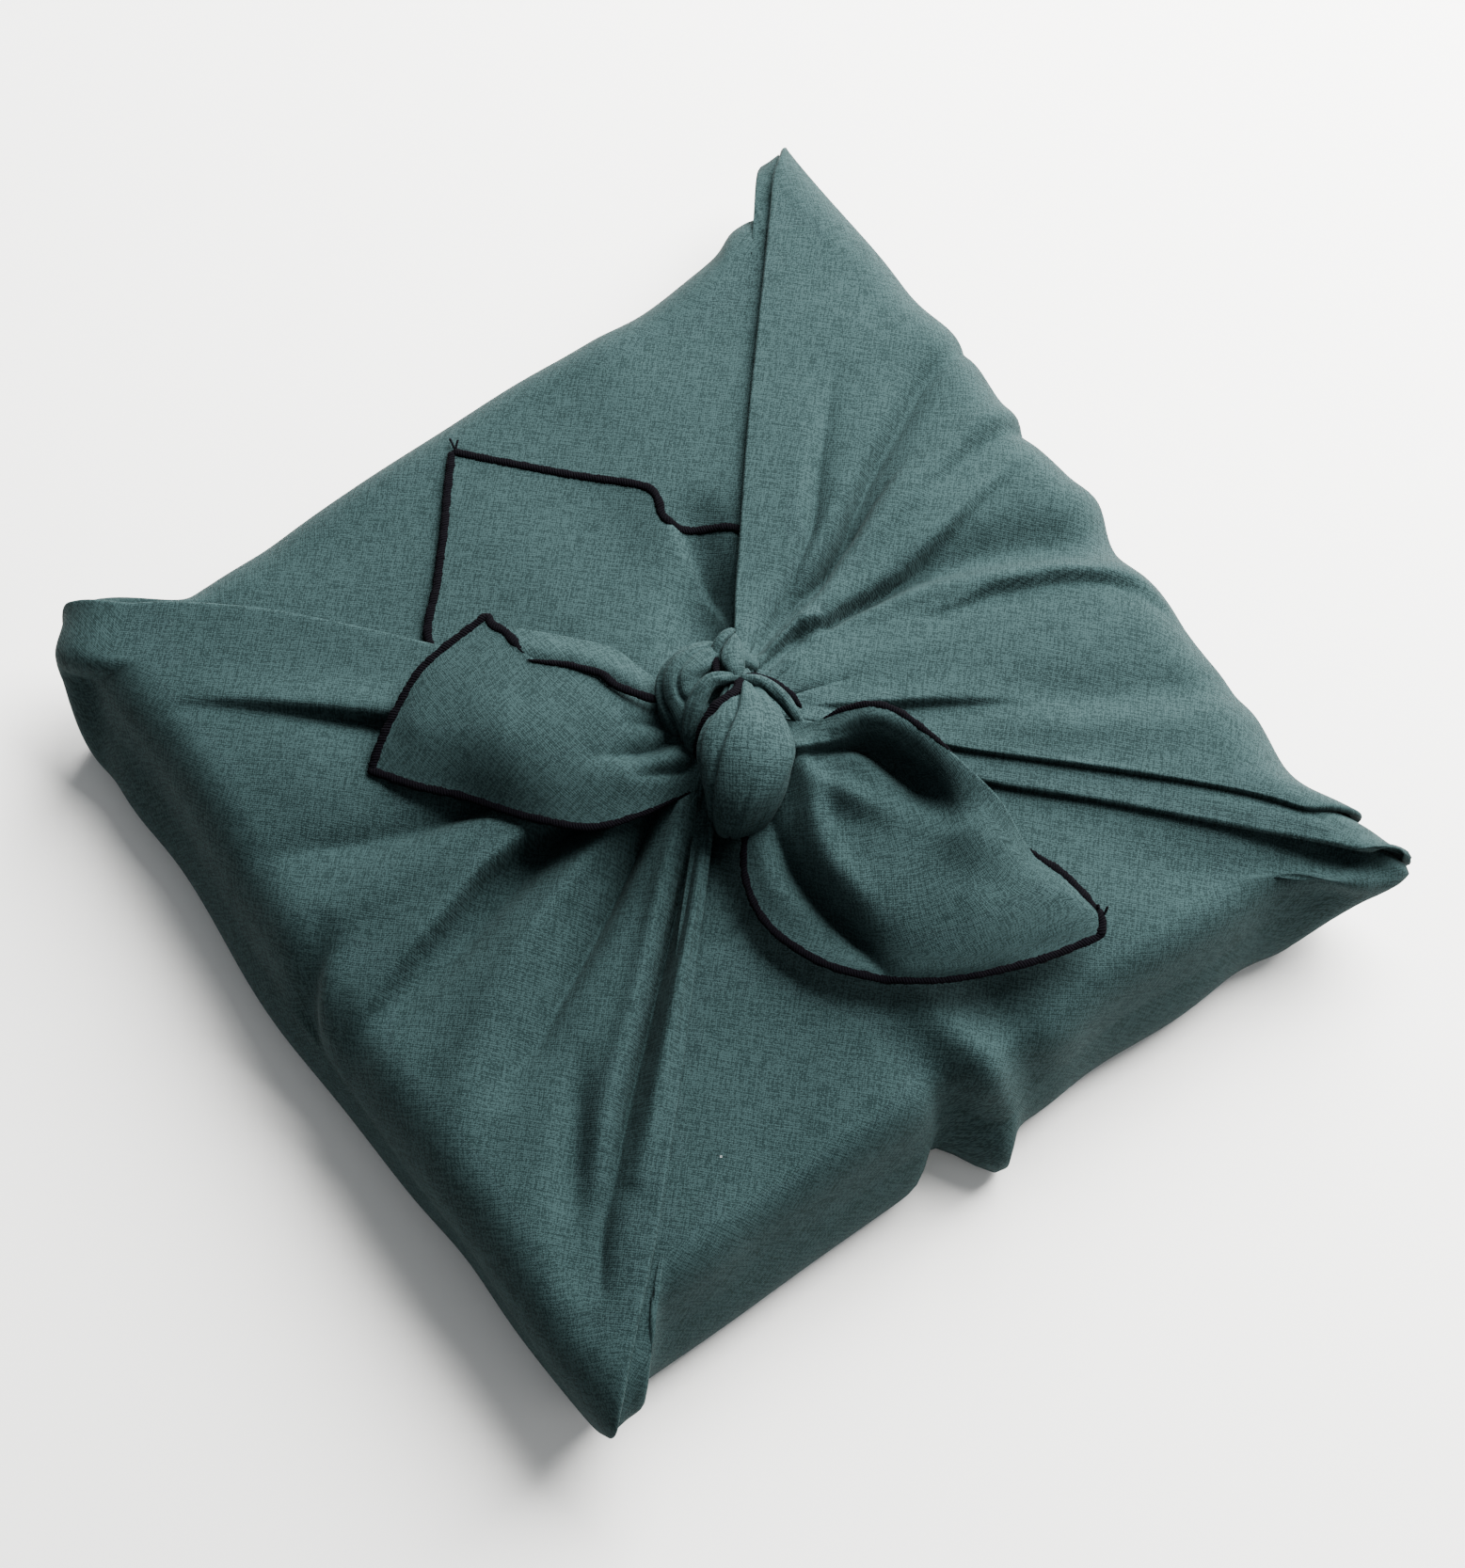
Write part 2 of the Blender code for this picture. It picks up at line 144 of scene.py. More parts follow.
# Folds of each piece: kind, plan points from the knot outwards, half widths and heights along
# them. A soft fold is a round ridge or trough and a sharp one comes to a line; the others step
# down from a high side, which is the left or the right as seen from the knot
FOLDS = {
    # from its folded edge at the far corner to the one at the right corner
    "fan_far": (
        ("sharp", ((24, 12), (42, 22), (57, 32), (67, 39), (80, 53), (95, 68), (112, 86)),
         (3, 5, 6), (-2, -4.6, -5, -4, -2, 0)),
        ("soft", ((28, 16), (44, 26), (60, 38), (76, 56), (92, 74)), (3, 4, 5), (0, 1.4, 1.4, 0)),
        ("sharp", ((22, 9), (34, 15), (46, 20), (58, 23), (71, 29), (84, 37), (98, 45), (114, 53),
         (130, 61), (150, 66)), (3, 5, 6.5, 6.5), (-3.5, -6.5, -8.6, -8.6, -7, -4.4)),
        ("soft", ((40, 22), (60, 30), (82, 42), (104, 54), (128, 66)), (3, 4, 5),
         (0, 1.6, 2, 1.6, 0)),
        ("high right", ((28, 9), (40, 13), (51, 16), (63, 22), (75, 27), (86, 32), (97, 36),
         (112, 41)), (3, 5, 6), (2.4, 4.6, 5, 3.6, 1.8, 0)),
        ("sharp", ((28, 9), (40, 14), (51, 17), (63, 23), (75, 28), (86, 33), (97, 37)), (2, 3, 3),
         (-2, -4, -4, 0)),
        ("soft", ((40, 10), (55, 14), (68, 19), (82, 24), (100, 29), (118, 33), (134, 36),
         (150, 35)), (3, 5, 6, 6), (1.5, 3.2, 4, 3.8, 3)),
        ("sharp", ((100, 26), (114, 28), (124, 30), (132, 31), (140, 31), (152, 28)), (4, 6, 6),
         (0, -2.4, -4, -4.4, -3.6)),
        ("high left", ((18, 4), (34, 8), (47, 7), (57, 8), (68, 8), (79, 8), (92, 10), (103, 12),
         (115, 15), (128, 17), (144, 18)), (4, 6, 7, 7), (2.5, 4.8, 5.8, 5.8, 5, 3.6, 1.6, 0)),
        ("soft", ((48, 6), (64, 6), (86, 4), (112, -4), (129, -13), (142, -18)), (3, 6, 9, 10, 9),
         (-4, -7.6, -8.4, -8, -6, -3)),
        ("soft", ((40, 5), (59, 3), (79, -1), (99, -9), (116, -18), (125, -27), (131, -38)),
         (3, 4.5, 6, 7), (1.5, 3.6, 4.6, 4.6, 4, 2.4, 0)),
        ("high left", ((70, -7), (84, -12), (97, -14), (107, -18), (117, -22), (127, -28),
         (134, -35), (138, -44), (140, -56)), (6, 8, 8), (0, 1.6, 2.8, 3.2, 2.6, 0)),
        ("soft", ((30, -4), (60, -16), (96, -30), (126, -48)), (10, 20, 16), (3, 4, 3, 1.5)),
        ("soft", ((120, 92), (140, 92), (152, 92)), (12, 12, 12), (0, -1.2, -1.6)),
        ("high left", ((30, -18), (47, -28), (59, -35), (74, -45), (85, -53)), (4, 7, 8),
         (1, 2.6, 2.2, 1, 0)),
        ("soft", ((74, -38), (99, -60), (120, -71), (140, -84)), (6, 8, 6), (0, -1.6, -2.2, -2.2)),
        ("soft", ((60, -46), (89, -65), (112, -80), (130, -90)), (5, 6, 6), (0, 1.6, 1.4, 0)),
    ),
    "fan_far_tuck": (
        ("soft", ((20, -20), (60, -58), (96, -94), (132, -136)), (6, 6, 6), (0.6, 0.8, 1, 2)),
    ),
    # from its folded edge at the left corner to the one at the near corner
    "fan_near": (
        ("high right", ((-26, 4), (-50, 34), (-69, 51), (-80, 62), (-92, 74), (-105, 87),
         (-122, 103), (-134, 112)), (7, 9, 8), (3, 4, 5.4, 4.6, 2.4, 0)),
        ("sharp", ((-50, 32), (-69, 49), (-92, 72), (-108, 87)), (4, 6, 7), (-2, -3.4, -2.4, 0)),
        ("soft", ((-84, 44), (-110, 66), (-134, 84)), (12, 16, 14), (0, 2, 1)),
        ("sharp", ((-34, 6), (-50, 13), (-64, 18), (-77, 23), (-87, 26), (-99, 30), (-112, 36),
         (-124, 43), (-136, 49)), (4, 7, 9, 10), (-4, -7.5, -7.5, -5.5, -3.6, -2)),
        ("soft", ((-40, 4), (-60, 11), (-78, 16), (-98, 18), (-118, 20), (-140, 26)), (4, 6, 9, 10),
         (2, 3.6, 3.6, 3, 1.6)),
        ("high right", ((-32, -4), (-46, 1), (-60, 3), (-71, 4), (-87, 3), (-101, -1), (-118, -5),
         (-133, -9), (-150, -13)), (5, 7, 8), (3, 5, 5.6, 5.6, 5, 3, 0)),
        ("soft", ((-34, -5), (-57, 0), (-73, -2), (-89, -5), (-104, -9), (-118, -12), (-134, -15),
         (-148, -18)), (4, 6, 7, 8), (-3, -7, -9, -8.4, -5.4, -2)),
        ("soft", ((-136, 12), (-144, 5), (-151, -6), (-156, -22), (-160, -44), (-161, -72)),
         (3.5, 4.5, 6), (0, 4.4, 6, 5.4, 3, 0)),
        ("soft", ((-130, 22), (-138, 16), (-147, 8), (-154, -2), (-159, -16), (-161, -30)),
         (4, 6, 6), (0, -4, -7, -6, 0)),
        ("soft", ((-36, -8), (-48, -10), (-65, -15), (-84, -22), (-102, -30), (-117, -39),
         (-131, -50), (-145, -65)), (3, 5, 8, 10), (2, 4, 4.6, 4.2, 3.2, 1.4)),
        ("sharp", ((-24, -9), (-34, -12), (-48, -20), (-62, -28), (-77, -36), (-89, -42),
         (-102, -49), (-115, -54), (-128, -60)), (3, 5.5, 6.5, 8), (-7, -11, -10, -8, -5, 0)),
        ("soft", ((-25, -18), (-42, -31), (-53, -41), (-66, -53), (-81, -66), (-97, -79),
         (-112, -92), (-128, -105)), (3, 4, 5, 7), (3, 4.4, 4.4, 4, 3, 1.6)),
        ("soft", ((-92, -58), (-106, -74), (-118, -90), (-128, -104), (-142, -120)), (4, 6, 7),
         (0, -3.6, -5, -4.4, -1)),
        ("sharp", NEAR_CREASE, (3, 4.5, 5, 5), (-3, -7, -9.4, -9.4, -8, -5.4, -2)),
        ("soft", ((-23, -22), (-30, -32), (-45, -48), (-58, -60), (-73, -74), (-88, -88),
         (-103, -101)), (2.4, 3.4, 3.6), (0.8, 3.6, 5.4, 5.6, 5, 3.4, 1.6)),
        ("soft", ((-112, -98), (-126, -112), (-140, -126)), (5, 6, 6), (0, -1.6, -1.4)),
    ),
    # the two flat panels
    "wrapped_body": (
        ("soft", ((-2, -96), (-1, -121), (2, -131), (-1, -142), (-6, -152)), (9, 6, 5),
         (0, 2.4, 4, 4.6, 5)),
        ("soft", ((-12, -108), (-12, -130), (-14, -142), (-18, -150)), (9, 7, 5),
         (0, -2.8, -5, -6.5)),
        ("soft", ((14, -104), (15, -128), (14, -142)), (9, 8, 7), (0, -2, -2.6)),
        ("soft", ((64, -100), (98, -128), (130, -146)), (12, 10, 7), (0, -2, -3)),
        ("soft", ((-30, -90), (-60, -118), (-84, -138)), (14, 14, 12), (0, -1.2, -2.2)),
        ("sharp", ((-29, -57), (-37, -57), (-46, -56)), (3, 3, 3), (-0.8, -1.2, -0.6)),
        ("soft", ((30, -70), (44, -104), (60, -136)), (20, 20, 16), (0.4, 1.4, 1)),
        ("soft", ((30, 100), (46, 122), (56, 140)), (12, 14, 12), (0, 1, 1.8)),
        ("soft", ((-30, 104), (-56, 124), (-76, 140)), (12, 14, 12), (0, -1, -1.6)),
        ("soft", FLAP_TROUGH, (10, 12, 12, 9), (-11, -15, -12, -5)),
        ("soft", NEAR_CREASE, (3, 5, 5.5, 5), (-4, -8, -10, -10, -9, -6, -3)),
        ("soft", ((108, -118), (124, -134), (134, -146), (142, -156)), (4, 5, 4),
         (0, -1.4, -3, -3.4)),
    ),
    # the hemmed tip
    "flap_tip": (
        ("high left", ((18, 14), (25, 30), (26, 43), (30, 61), (34, 80), (36, 92)), (5, 10, 14),
         (1.2, 2.4, 2.6, 2.2)),
        ("soft", ((-8, 20), (-14, 60), (-14, 110)), (14, 18, 14), (1, 1.2, 0.6)),
        ("soft", FLAP_TROUGH, (9, 11, 11, 9), (-9, -13, -10, -4)),
    ),
    "left_end": (
        ("sharp", ((-12, -2), (-18, 0), (-25, 1), (-34, 5), (-44, 11)), (2, 3, 4, 5),
         (-3, -4.4, -4, -1.6, 0)),
        ("sharp", ((-12, 3), (-18, 7), (-28, 13)), (2, 2.6, 3), (-2, -2.6, 0)),
        ("sharp", ((-14, -11), (-20, -10), (-27, -7), (-36, -3)), (2, 2.6, 3.6),
         (-2, -3.6, -2.6, 0)),
        ("soft", ((-12, -11), (-22, -6), (-34, -2), (-48, 6)), (3, 5, 9), (0, 2.4, 2, 0)),
        ("soft", ((-40, 18), (-58, 30), (-76, 44)), (10, 12, 12), (0, 2.4, 1)),
        ("soft", ((-60, 2), (-70, 14), (-84, 32)), (7, 8, 8), (0, -1.6, -0.6)),
    ),
    "right_end": (
        ("soft", ((20, -33), (27, -38), (31, -48), (33, -58), (34, -68), (32, -78)),
         (3, 4.5, 6, 5.5), (-3, -8, -10.5, -9.5, -5, 0)),
        ("high left", ((9, -28), (15, -31), (21, -34), (31, -39), (36, -49), (39, -61), (37, -71)),
         (5, 7, 7), (2, 5, 6, 4, 0)),
        ("soft", ((9, -36), (14, -50), (20, -61)), (3, 4.5, 4), (0, 4, 1)),
        ("soft", ((10, -28), (7, -39), (1, -49), (-3, -61), (-3, -75), (-4, -90)), (4, 5.5, 6),
         (3, 4.4, 4, 4, 3, 0)),
        ("sharp", ((-8, -40), (-12, -56), (-11, -71), (-9, -84), (-8, -97)), (4, 5, 5),
         (-2, -6, -7.5, -8, -3)),
        ("soft", ((-16, -44), (-19, -58), (-16, -76)), (4, 5, 5), (1, 2, 0)),
        ("soft", ((36, -64), (35, -80), (45, -98)), (6, 9, 8), (0, 3, 1)),
        ("soft", ((12, -86), (26, -98), (40, -106)), (8, 9, 8), (0, 1.6, 0)),
    ),
}

FAN_ROOM = 12.0       # how far the body sinks under the middle of a fan
FOLD_RADIUS = 1.15    # of the turn at a fan's folded edge
FOLD_UNDER = 6.0      # how far the cloth runs back under it
SHEET_THICKNESS = 0.5
GATHER_HEIGHT = 1.4   # of the pleats at a fan's neck
NECK_RISE = 12.0      # of a fan at the knot, gone beyond about twice NECK_REACH
NECK_REACH = 34.0
FAN_FOOT = -0.3       # lift of a fan at the foot

# Counts of points: columns of the body along a side, rows of its top and of a fan's, columns of a
# fan and of the tuck, rows of the shoulder, side and foot, along and round a band of the knot, and
# round a hem
BODY_COLUMNS = 116
BODY_ROWS = 92
FAN_ROWS = 128
FAN_COLUMNS = 220
TUCK_COLUMNS = 56
BODY_SIDE_ROWS = (22, 22, 9)
FAN_SIDE_ROWS = (20, 18, 6)
BAND_POINTS = 90
BAND_SIDES = 72
HEM_SIDES = 14

HEM_STEP = 0.6                              # between the points along a hem
HEM_FLATNESS = 0.65                         # its depth as a share of its width
KNOT_HEART = np.array([-1.0, -8.0, 54.0])   # the knot's bands face away from it
THREADS_PER_METRE = 1500.0
THREAD_WOBBLE = (0.0012, 0.0012, 0.0)       # how far threads stray, in m
LINT_COLOUR = (0.13, 0.15, 0.15, 1.0)
STITCH_LENGTH = 0.0009                      # of the hem's overlocking, in m

# Which way the cloth runs on down each side, in plan
SIDE_WAYS = np.array([(0, -1), (1, 0), (0, 1), (-1, 0)], float)


# ---- curves and surfaces

def smooth(value, low, high):
    """0 below low, 1 above high, and 3t^2 - 2t^3 between them."""
    share = np.clip((value - low) / (high - low), 0.0, 1.0)
    return share * share * (3 - 2 * share)


def spline(rows, place):
    """A cardinal spline through the rows, read at places counted in rows (0 to rows - 1)."""
    rows = np.asarray(rows, float)
    padded = np.concatenate([2 * rows[:1] - rows[1:2], rows, 2 * rows[-1:] - rows[-2:-1]])
    place = np.asarray(place, float)
    index = np.clip(place.astype(int), 0, len(rows) - 2)
    share = (place - index).reshape((-1,) + (1,) * (rows.ndim - 1))
    before, start, end, after = (padded[index + step] for step in range(4))
    return 0.5 * (2 * start + (end - before) * share
                  + (2 * before - 5 * start + 4 * end - after) * share ** 2
                  + (3 * start - before - 3 * end + after) * share ** 3)


def curve(rows, count, last=None):
    """A spline through the rows, read at count even places up to place last or the last row."""
    return spline(rows, np.linspace(0, len(rows) - 1 if last is None else last, count))


def lofted(sections, along, across):
    """A surface through a table of sections: a spline down each column of points, then a spline
    across each row that this gives."""
    return curve(curve(sections, along).swapaxes(0, 1), across).swapaxes(0, 1)


def lengths(path):
    """The length at each point of a path, or down each column of a grid."""
    run = np.cumsum(np.linalg.norm(np.diff(path, axis=0), axis=-1), 0)
    return np.concatenate([np.zeros_like(run[:1]), run])


def blend(start, end, share):
    """From start at share 0 to end at share 1."""
    return start * (1 - share) + end * share


def raised(xy, height):
    """Plan points at the given heights."""
    return np.concatenate([xy, height[..., None]], -1)


def unit(vectors):
    """Each vector divided by its length."""
    return vectors / np.maximum(np.linalg.norm(vectors, axis=-1, keepdims=True), 1e-9)


def normals(grid, closed=False):
    """Unit normals of a grid: the slope along its rows crossed with the slope across them."""
    down = np.gradient(grid, axis=0)
    if closed:
        over = (np.roll(grid, -1, 1) - np.roll(grid, 1, 1)) / 2
    else:
        over = np.gradient(grid, axis=1)
    return unit(np.cross(down, over))


def beside(points, xy):
    """Signed distance of each point of xy from a spline, positive on its left, and the share of
    its length at the nearest place."""
    line = curve(points, 6 * len(points))
    reach = lengths(line)
    best = np.full(xy.shape[:-1], 1e9)
    signed = np.zeros_like(best)
    along = np.zeros_like(best)
    for start, way, before, after in zip(line, np.diff(line, axis=0), reach, reach[1:]):
        offset = xy - start
        share = np.clip(offset @ way / (way @ way), 0, 1)
        gap = np.linalg.norm(offset - share[..., None] * way, axis=-1)
        left = np.sign(way[0] * offset[..., 1] - way[1] * offset[..., 0])
        nearer = gap < best
        best = np.where(nearer, gap, best)
        signed = np.where(nearer, gap * left, signed)
        along = np.where(nearer, (before + share * (after - before)) / reach[-1], along)
    return signed, along


def fold_height(piece, xy):
    """Sum of a piece's folds at distance d from each line, for its half width w and height h
    there. Soft: h * exp(-(d / w)^2). Sharp: h * exp(-1.6 |d| / w), rounded within 1 mm. A step is
    h * exp(-(d / w)^2) on its high side and -0.45 h * exp(-(d / 0.7 w)^2) on the other, joined
    over a slope that widens with w."""
    total = np.zeros(xy.shape[:-1])
    for kind, points, widths, heights in FOLDS.get(piece, ()):
        signed, along = beside(points, xy)
        width, size = (np.interp(along, np.linspace(0, 1, len(row)), row)
                       for row in (widths, heights))
        if kind == "soft":
            total += size * np.exp(-(signed / width) ** 2)
        elif kind == "sharp":
            total += size * np.exp(-1.6 * (np.sqrt(signed ** 2 + 1) - 1) / width)
        else:
            high = signed if kind == "high left" else -signed
            above = np.exp(-(high / width) ** 2)
            below = -0.45 * np.exp(-(high / (0.7 * width)) ** 2)
            soft = np.clip(0.5 + 0.16 * width, 1.3, 2.0)
            total += size * (below + (above - below) * smooth(high / soft, -1.0, 0.6))
    return total


def unevenness(xy, size, phase):
    """Slow swells in a flat stretch of cloth: three crossed sine waves of 50 to 90 mm."""
    x, y = xy[..., 0], xy[..., 1]
    return size * (np.sin(x / 13.0 + y / 31.0 + phase) * 0.4
                   + np.sin(y / 11.0 - x / 37.0 + 2 * phase) * 0.35
                   + np.sin((x + y) / 9.0 + 3 * phase) * 0.25)


# ---- the parcel's form

def outline(turn, height, detail=1.0):
    """The parcel's outline in plan. turn counts its corners, 0 to 4, and the sides between them
    are straight lines plus their bow and a share, detail, of the bumps and, beside a panel, of the
    flank of each ear."""
    side = np.floor(turn).astype(int) % 4
    part = turn - np.floor(turn)
    ear = smooth(height, EAR_FOOT, EAR_TOP)
    plan = np.array([row[1:5] for row in CORNERS], float)
    ear_share = np.broadcast_to(ear, turn.shape)[..., None]
    start, end = (blend(plan[number % 4, :2], plan[number % 4, 2:], ear_share)
                  for number in (side, side + 1))
    run = end - start
    length = np.linalg.norm(run, axis=-1)
    outward = np.stack([run[..., 1], -run[..., 0]], -1) / length[..., None]
    bow = np.array([row[1:4] for row in SIDES], float)[side]
    push = bow[..., 0] * (1 - part) * (1 - 2 * part) + bow[..., 1] * 4 * part * (1 - part) \
        + bow[..., 2] * part * (2 * part - 1)
    push = push * np.sqrt(np.abs(np.sin(math.pi * part)))
    low = 1 - smooth(height, FOOT_HEIGHT, EDGE_HEIGHT)
    for number, place, half_width, at_shoulder, at_foot in BUMPS:
        size = at_shoulder + (at_foot - at_shoulder) * low
        bump = size * np.exp(-((part - place) * length / half_width) ** 2)
        push = push + np.where(side == number, bump, 0.0) * detail
    from_corner = np.minimum(part, 1 - part) * length
    push = push - (side % 2 == 0) * ear * EAR_DEPTH * smooth(from_corner, 0, EAR_FLANK) * detail
    return start + run * part[..., None] + outward * push[..., None]


def from_knot(plan, scale):
    """Plan points moved straight towards the knot or away from it."""
    return KNOT + (plan - KNOT) * scale


def dome(xy):
    """Height of the top: the crown, falling to the edge as the 2.4th power of the distance from
    the middle, measured as a rounded square."""
    share = np.abs((xy - PARCEL_MIDDLE) / PARCEL_HALF)
    away = (share[..., 0] ** 4 + share[..., 1] ** 4) ** 0.25 / SHOULDER_SCALE
    return CROWN_HEIGHT + (EDGE_HEIGHT - CROWN_HEIGHT) * away ** 2.4


def side_levels(shoulder, side, foot):
    """Rows from the edge of the top down to the foot: scale from the knot, share of the edge's
    height, and height at share 0. The shoulder is a quarter ellipse."""
    angle = np.linspace(0, math.pi / 2, shoulder + 1)[1:]
    scale = [SHOULDER_SCALE + (1 - SHOULDER_SCALE) * np.sin(angle)]
    share = [np.cos(angle)]
    flat = [np.full(shoulder, SHOULDER_HEIGHT)]
    down = np.linspace(0, 1, side + 1)[1:]
    scale.append(1 + SIDE_BULGE * np.sin(math.pi * down) - 0.005 * down)
    share.append(np.zeros(side))
    flat.append(SHOULDER_HEIGHT + (FOOT_HEIGHT - SHOULDER_HEIGHT) * down)
    turn = np.linspace(0, math.pi / 2, foot + 1)[1:]
    scale.append(0.995 - (0.995 - FOOT_SCALE) * (1 - np.cos(turn)))
    share.append(np.zeros(foot))
    flat.append(FOOT_HEIGHT * (1 - np.sin(turn)))
    return np.concatenate(scale), np.concatenate(share), np.concatenate(flat)


def side_rows(turn, counts):
    """The rows of side_levels at the given turns: points in mm, and each row's share."""
    scale, share, flat = side_levels(*counts)
    level = np.maximum(flat + share * (EDGE_HEIGHT - SHOULDER_HEIGHT), 0)
    edge = dome(rim_point(turn)) - SHOULDER_HEIGHT
    rows = [raised(from_knot(outline(turn, row[3]), row[0]), row[2] + row[1] * edge)
            for row in zip(scale, share, flat, level)]
    return np.array(rows), share


def rim_point(turn):
    """Where the edge of the top is at a turn."""
    return from_knot(outline(turn, EDGE_HEIGHT), SHOULDER_SCALE)


def clustered(count, ends, endpoint=True):
    """Shares from 0 to 1, closer together towards both ends."""
    share = np.linspace(0, 1, count, endpoint=endpoint)
    return ends * (0.5 - 0.5 * np.cos(math.pi * share)) + (1 - ends) * share


# ---- meshes

def arc_map(grid):
    """Cloth coordinates of a grid in metres: the length along each row from its middle column,
    and the length down each column, turned by 45 degrees so that they follow the threads."""
    across = lengths(grid.swapaxes(0, 1)).T
    across = across - across[:, grid.shape[1] // 2, None]
    return threads(np.stack([across, lengths(grid)], -1) * MM)


def plan_map(grid, top_rows, way):
    """Cloth coordinates of a grid in metres: in plan on the top, then straight out in the given
    way by the length down the side."""
    plan = grid[..., :2].copy()
    plan[top_rows:] = plan[top_rows - 1] + way * lengths(grid[top_rows - 1:])[1:, :, None]
    return threads(plan * MM)


def threads(plan):
    """Turns plan coordinates by 45 degrees, on to the warp and the weft."""
    x, y = plan[..., 0], plan[..., 1]
    return np.stack([x - y, x + y], -1) * math.sqrt(0.5)


def grid_faces(rows, columns, closed):
    """Quads of a grid of rows and columns, wrapping round the columns where it is closed."""
    number = np.arange(rows * columns).reshape(rows, columns)
    after = np.roll(number, -1, 1) if closed else number[:, 1:]
    first = number if closed else number[:, :-1]
    return np.stack([first[:-1], first[1:], after[1:], after[:-1]], -1).reshape(-1, 4)


def mesh_object(name, points, faces, cloth_map, slot, thickness=None):
    """Makes an object from points in mm, faces and a cloth coordinate for each point. It rides on
    the root body and takes its finish from a slot."""
    mesh = bpy.data.meshes.new(name)
    places = (points.reshape(-1, 3) + PLAN_SHIFT) * MM
    mesh.from_pydata(places.tolist(), [], faces, shade_flat=False)
    corners = np.empty(len(mesh.loops), np.int32)
    mesh.loops.foreach_get("vertex_index", corners)
    layer = mesh.uv_layers.new(name="cloth")
    flat_map = cloth_map.reshape(-1, 2)[corners].astype(np.float32)
    layer.data.foreach_set("uv", flat_map.ravel())
    mesh.validate()
    mesh.materials.append(finish(slot))
    piece = bpy.data.objects.new(name, mesh)
    bpy.context.scene.collection.objects.link(piece)
    if thickness:
        wall = piece.modifiers.new("thickness", "SOLIDIFY")
        wall.thickness = thickness * MM
        wall.offset = 0.0
    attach(piece, "root")
    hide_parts("wrap")
    return piece


def sheet_object(name, grid, cloth_map):
    """An open grid as a sheet of linen."""
    faces = grid_faces(*grid.shape[:2], False).tolist()
    return mesh_object(name, grid, faces, cloth_map, "linen", SHEET_THICKNESS)


def closed_object(name, grid, ends, cloth_map, slot):
    """A grid that closes round its columns, its first and last rows each joined to a point of
    ends, with its faces turned to point out."""
    rows, columns = grid.shape[:2]
    count = rows * columns
    faces = grid_faces(rows, columns, True).tolist()
    for here in range(columns):
        after = (here + 1) % columns
        faces += [(count, here, after),
                  (count + 1, count - columns + after, count - columns + here)]
    points = np.concatenate([grid.reshape(-1, 3), ends])
    cloth_map = np.concatenate([cloth_map.reshape(-1, 2), cloth_map[0, :1], cloth_map[-1, -1:]])
    piece = mesh_object(name, points, faces, cloth_map, slot)
    work = bmesh.new()
    work.from_mesh(piece.data)
    bmesh.ops.recalc_face_normals(work, faces=work.faces)
    work.to_mesh(piece.data)
    work.free()
    return piece


def tube(path, width, depth, sides, up, groove):
    """A closed tube along a path: an ellipse of the given half width and half depth, with the
    depth towards up, less a groove depth, and a point beyond each end. Returns its grid, its two
    end points and its cloth coordinates."""
    tangent = unit(np.gradient(path, axis=0))
    side = unit(np.cross(tangent, up))
    up = np.cross(side, tangent)
    angle = np.linspace(0, 2 * math.pi, sides, endpoint=False)[None, :, None]
    width, depth = width[:, None, None], depth[:, None, None]
    spoke = width * np.cos(angle) * side[:, None] + depth * np.sin(angle) * up[:, None]
    rings = path[:, None] + spoke - unit(spoke) * groove[..., None]
    around = np.arange(sides) / sides * 2 * math.pi * float(width.mean()) * MM
    cloth_map = np.stack(np.broadcast_arrays(lengths(path)[:, None] * MM, around[None]), -1)
    return rings, [path[0] - tangent[0] * 0.4, path[-1] + tangent[-1] * 0.4], cloth_map


# ---- materials

def plug(tree, socket, value):
    """Links a socket to an input, or sets the input to a number or a colour."""
    if isinstance(value, bpy.types.NodeSocket):
        tree.links.new(value, socket)
    else:
        socket.default_value = value


def node(tree, kind, **values):
    """Adds a shader node and sets its properties or, by name, plugs in its inputs."""
    new = tree.nodes.new(kind)
    for key, value in values.items():
        if hasattr(new, key):
            setattr(new, key, value)
        else:
            plug(tree, new.inputs[key], value)
    return new


def math_node(tree, operation, *values, clamp=False):
    """Adds a Math node whose inputs are sockets or numbers, and returns its output."""
    new = node(tree, "ShaderNodeMath", operation=operation, use_clamp=clamp)
    for socket, value in zip(new.inputs, values):
        plug(tree, socket, value)
    return new.outputs[0]


def flat_noise(tree, vector, scale, detail):
    """Noise over a plane, with its scale in 1/m."""
    return node(tree, "ShaderNodeTexNoise", noise_dimensions="2D", Vector=vector, Scale=scale,
                Detail=detail)


def streaks(tree, vector, along, across, detail):
    """Noise stretched along one thread direction; along and across are its scales in 1/m."""
    mapping = node(tree, "ShaderNodeMapping", Vector=vector, Scale=(along, across, 1.0))
    return flat_noise(tree, mapping.outputs["Vector"], 1.0, detail).outputs["Fac"]


